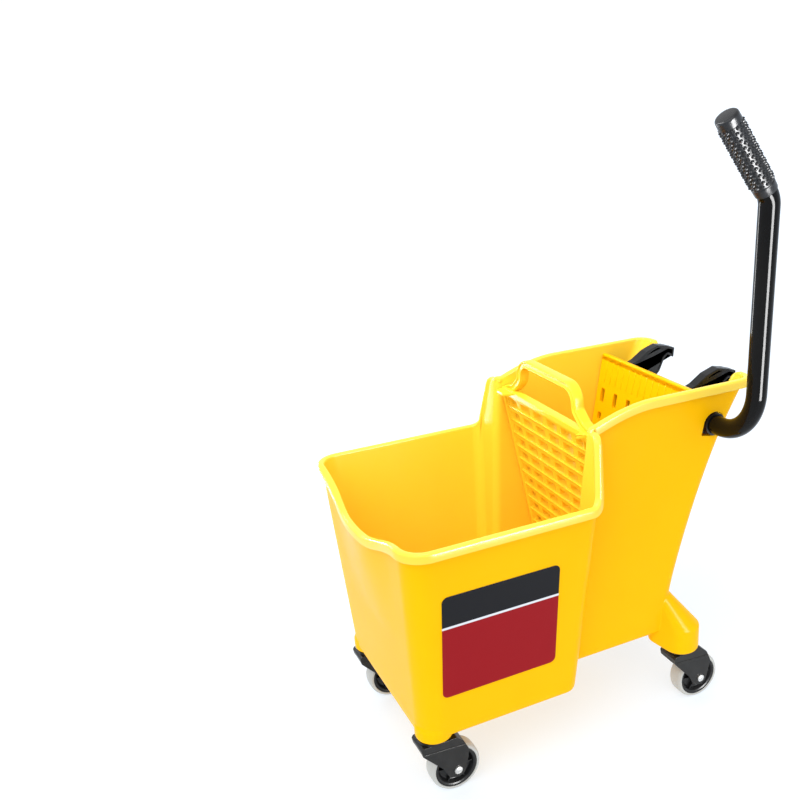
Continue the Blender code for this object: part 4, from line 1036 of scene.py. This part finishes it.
def build_caster(name, mats):
    swivel = Vector(JOINTS["swivel_turn_" + name]["pos_m"])
    swivel.z = 0.0
    wheel = Vector(JOINTS["wheel_roll_" + name]["pos_m"])
    outside = LEG_INSIDE + LEG_THICK
    side = [(-0.0190, FORK_TOP_Z, 0.003), (-0.0215, 0.0800, 0.002), (-0.0200, 0.0720, 0.004),
            (0.0060, 0.0430, 0.012), (0.0145, 0.0260, 0.003)]
    side += [(x, z, 0) for x, z in arc((TRAIL, WHEEL_R), 0.0110, 225, 340, 24)]
    side += [(0.0395, 0.0420, 0.004), (0.0430, 0.0600, 0.008), (0.0355, 0.0765, 0.006),
             (0.0270, FORK_TOP_Z, 0.003)]
    outline = [tuple(p) for p in rounded([side[-1], *side, side[0]], 5)[1:-1]]
    fork = piece("caster_fork_fine_" + name, prism(outline, -outside, outside), mats["fork"], swivel,
                 "swivel_" + name, ("caster_fork_" + name,), bevel=0.0011, segments=3)
    gap = [(-0.060, 0.0), (0.090, 0.0), (0.090, FORK_UNDER_Z), (-0.060, FORK_UNDER_Z)]
    cutter("fork_gap_" + name, prism(gap, -LEG_INSIDE, LEG_INSIDE), swivel, fork)
    bm = bmesh.new()
    for flank in (-1, 1):
        face = flank * outside
        rib = [(-0.0185, 0.0745), (0.0375, 0.0700), (0.0392, 0.0665), (-0.0160, 0.0705)]
        prism(rib, face - flank * 0.001, face + flank * 0.0007, bm=bm)
    piece("caster_fork_rib_" + name, bm, mats["fork"], swivel, "swivel_" + name,
          bevel=0.0004)
    bm = bmesh.new()
    for flank in (-1, 1):
        profile = [(0, outside + 0.0022), (0.0026, outside + 0.0024), (0.0034, outside + 0.0020),
                   (0.0050, outside + 0.0018), (0.0052, outside + 0.0012), (0.0052, outside - 0.0006),
                   (0, outside - 0.0006)]
        turned([(r, flank * h) for r, h in profile], 36, "Y", bm)
        for k in range(12):
            a = 2 * math.pi * k / 12
            tooth = Matrix.Rotation(a, 3, "Y")
            corners = [Vector((x, y, z)) for y in (outside + 0.0002, outside + 0.0016)
                       for x, z in ((0.0044, -0.0007), (0.0056, -0.0004), (0.0056, 0.0004), (0.0044, 0.0007))]
            verts = [bm.verts.new(tooth @ Vector((c.x, flank * c.y, c.z))) for c in corners]
            grid_faces(bm, [verts[:4], verts[4:]], capped=True)
    turned([(0, -outside), (0.0030, -outside), (0.0030, outside), (0, outside)], 32, "Y", bm)
    piece("caster_axle_fine_" + name, bm, mats["steel"], wheel, "swivel_" + name,
          ("caster_axle_" + name,), smooth=40)

    hub = rounded([(0.0033, 0.0, 0), (0.0033, -0.0122, 0), (0.0075, -0.0122, 0.0008),
                   (0.0100, -0.0052, 0.0012), (0.0218, -0.0040, 0.0014), (0.0246, -0.0100, 0.0010),
                   (0.0262, -0.0112, 0.0006), (HUB_R - 0.0001, -0.0112, 0.0004), (HUB_R - 0.0001, 0.0, 0)], 4)
    profile = [(p.x, p.y) for p in hub[1:-1]]
    profile += [(r, -h) for r, h in reversed(profile)]
    bm = turned(profile, 72, "Y")
    for k in range(6):
        for flank in (-1, 1):
            turn = Matrix.Rotation(2 * math.pi * k / 6, 3, "Y")
            corners = [Vector((x, flank * y, z)) for z in (-0.0008, 0.0008)
                       for x, y in ((0.0085, 0.0030), (0.0085, 0.0100), (0.0235, 0.0082), (0.0235, 0.0030))]
            verts = [bm.verts.new(turn @ c) for c in corners]
            grid_faces(bm, [verts[:4], verts[4:]], capped=True)
    piece("caster_hub_fine_" + name, bm, mats["black"], wheel, "wheel_" + name,
          ("caster_hub_" + name,), smooth=35)
    tread = rounded([(HUB_R, 0.0, 0), (HUB_R, -WHEEL_WIDTH / 2, 0.0004), (0.0318, -WHEEL_WIDTH / 2, 0.0012),
                     (WHEEL_R - 0.0004, -WHEEL_WIDTH / 2 + 0.0036, 0.0040), (WHEEL_R, 0.0, 0)], 6)
    profile = [(p.x, p.y) for p in tread[1:-1]]
    profile += [(WHEEL_R, 0.0)] + [(r, -h) for r, h in reversed(profile)]
    piece("caster_tread_fine_" + name, turned(profile, 96, "Y"), mats["tread"], wheel, "wheel_" + name,
          ("caster_tread_" + name,), smooth=40)


# --- Label and the kept CAD nodes ---------------------------------------------------------------------

def build_label(mat):
    """The printed film on the near wall, with round corners, in a frame centred on it."""
    low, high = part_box("side_label")
    centre = (low + high) / 2
    half_x, half_z = (high.x - low.x) / 2, (high.z - low.z) / 2
    corners = [(-half_x, -half_z), (half_x, -half_z), (half_x, half_z), (-half_x, half_z)]
    bm = bmesh.new()
    rings = []
    for proud in (0.0001, 0.0008):
        ring = []
        for x, z in rounded_loop(corners, 0.008, 10):
            place = DATUM.y - lerp_table(FRONT_HALF, z + centre.z) - proud
            ring.append(bm.verts.new((x, place - centre.y, z)))
        rings.append(ring)
    grid_faces(bm, rings, capped=True)
    piece("side_label_film", bm, mat, centre, "bucket", ("side_label",), bevel=0.0002)


def dress_kept_nodes(mats):
    """Materials for the CAD nodes that are shown as they are."""
    kept = {"plate_pivot_pin": "steel", "shaft_bushing_near": "black", "shaft_bushing_far": "black",
            "arm_screw_near": "steel", "arm_screw_far": "steel"}
    kept.update({"caster_stem_" + name: "fork" for name in CORNERS})
    for node, key in kept.items():
        frame["nodes"][node].data.materials.clear()
        frame["nodes"][node].data.materials.append(mats[key])


# --- Stage --------------------------------------------------------------------------------------------

def build_bowl():
    """A pale floor that curves up into a backdrop all round."""
    mat, tree, shader = nodes_of("stage_paper")
    tree.links.new(ramp(tree, noise(tree, 1.5, 2.0), ((0.3, (0.37, 0.43, 0.50)), (0.7, (0.39, 0.45, 0.52)))),
                   shader.inputs["Base Color"])
    shader.inputs["Roughness"].default_value = 0.8
    shader.inputs["Specular IOR Level"].default_value = 0.1
    shader.inputs["Emission Color"].default_value = (1.0, 1.0, 1.0, 1.0)
    shader.inputs["Emission Strength"].default_value = BOWL_GLOW
    edge = BOWL_FLAT_R + BOWL_CURVE_R
    profile = [(0, -BOWL_THICK), (0, 0), (BOWL_FLAT_R / 3, 0), (BOWL_FLAT_R, 0)]
    profile += arc((BOWL_FLAT_R, BOWL_CURVE_R), BOWL_CURVE_R, -90, 0, 12)[1:]
    profile += [(edge, BOWL_TOP_Z), (edge + BOWL_THICK, BOWL_TOP_Z), (edge + BOWL_THICK, -BOWL_THICK)]
    bm = turned(profile, 64)
    bmesh.ops.recalc_face_normals(bm, faces=bm.faces)
    mesh = bpy.data.meshes.new("bowl")
    bm.to_mesh(mesh)
    bm.free()
    mesh.shade_smooth()
    mesh.set_sharp_from_angle(angle=math.radians(30))
    mesh.materials.append(mat)
    bowl = bpy.data.objects.new("bowl", mesh)
    bpy.context.scene.collection.objects.link(bowl)


def build_lights():
    """A white surround, a broad soft key from the upper left, a lamp over the bin and strips for the tube."""
    world = bpy.data.worlds.new("studio")
    world.use_nodes = True
    world.node_tree.nodes["Background"].inputs["Color"].default_value = (1.0, 1.0, 1.0, 1.0)
    world.node_tree.nodes["Background"].inputs["Strength"].default_value = SKY
    bpy.context.scene.world = world
    key = bpy.data.lights.new("key", "SUN")
    key.energy, key.angle = KEY_POWER, KEY_ANGLE
    lamps = [(key, KEY_FROM, (0, 0, 0))]
    for name, place, target, size, power in LAMPS:
        light = bpy.data.lights.new(name, "AREA")
        light.shape = "RECTANGLE"
        light.size, light.size_y = size
        light.energy = power
        lamps.append((light, place, target))
    for light, place, target in lamps:
        obj = bpy.data.objects.new(light.name, light)
        obj.location = place
        obj.rotation_euler = (Vector(target) - Vector(place)).to_track_quat("-Z", "Y").to_euler()
        obj.visible_camera = False
        obj.visible_diffuse = not light.name.startswith("tube")
        bpy.context.scene.collection.objects.link(obj)


def build_camera():
    level = math.cos(CAMERA_PITCH)
    ahead = Vector((math.sin(CAMERA_YAW) * level, math.cos(CAMERA_YAW) * level, -math.sin(CAMERA_PITCH)))
    right = Vector((math.cos(CAMERA_YAW), -math.sin(CAMERA_YAW), 0))
    right = Matrix.Rotation(-CAMERA_ROLL, 3, ahead) @ right
    up = right.cross(ahead)
    data = bpy.data.cameras.new("camera")
    data.lens = CAMERA_LENS
    data.shift_x, data.shift_y = CAMERA_SHIFT
    camera = bpy.data.objects.new("camera", data)
    camera.matrix_world = Matrix.Translation(CAMERA_AT) @ Matrix((right, up, -ahead)).transposed().to_4x4()
    bpy.context.scene.collection.objects.link(camera)
    bpy.context.scene.camera = camera
    bpy.context.scene.view_settings.view_transform = "Standard"


def main():
    build_bowl()
    build_lights()
    build_camera()
    mats = make_materials()
    build_wall(mats)
    # The rim takes the lighter copy of the yellow, painted light for its lit top.
    build_rim(mats["rim"])
    build_feet(mats["yellow"])
    # The screen, shelf, lugs and handle take the lighter wringer copy of the yellow, painted light.
    build_screen(mats["wringer"])
    build_plate(mats["yellow"])
    build_lever(mats)
    for name in CORNERS:
        build_caster(name, mats)
    build_label(mats["label"])
    dress_kept_nodes(mats)


main()
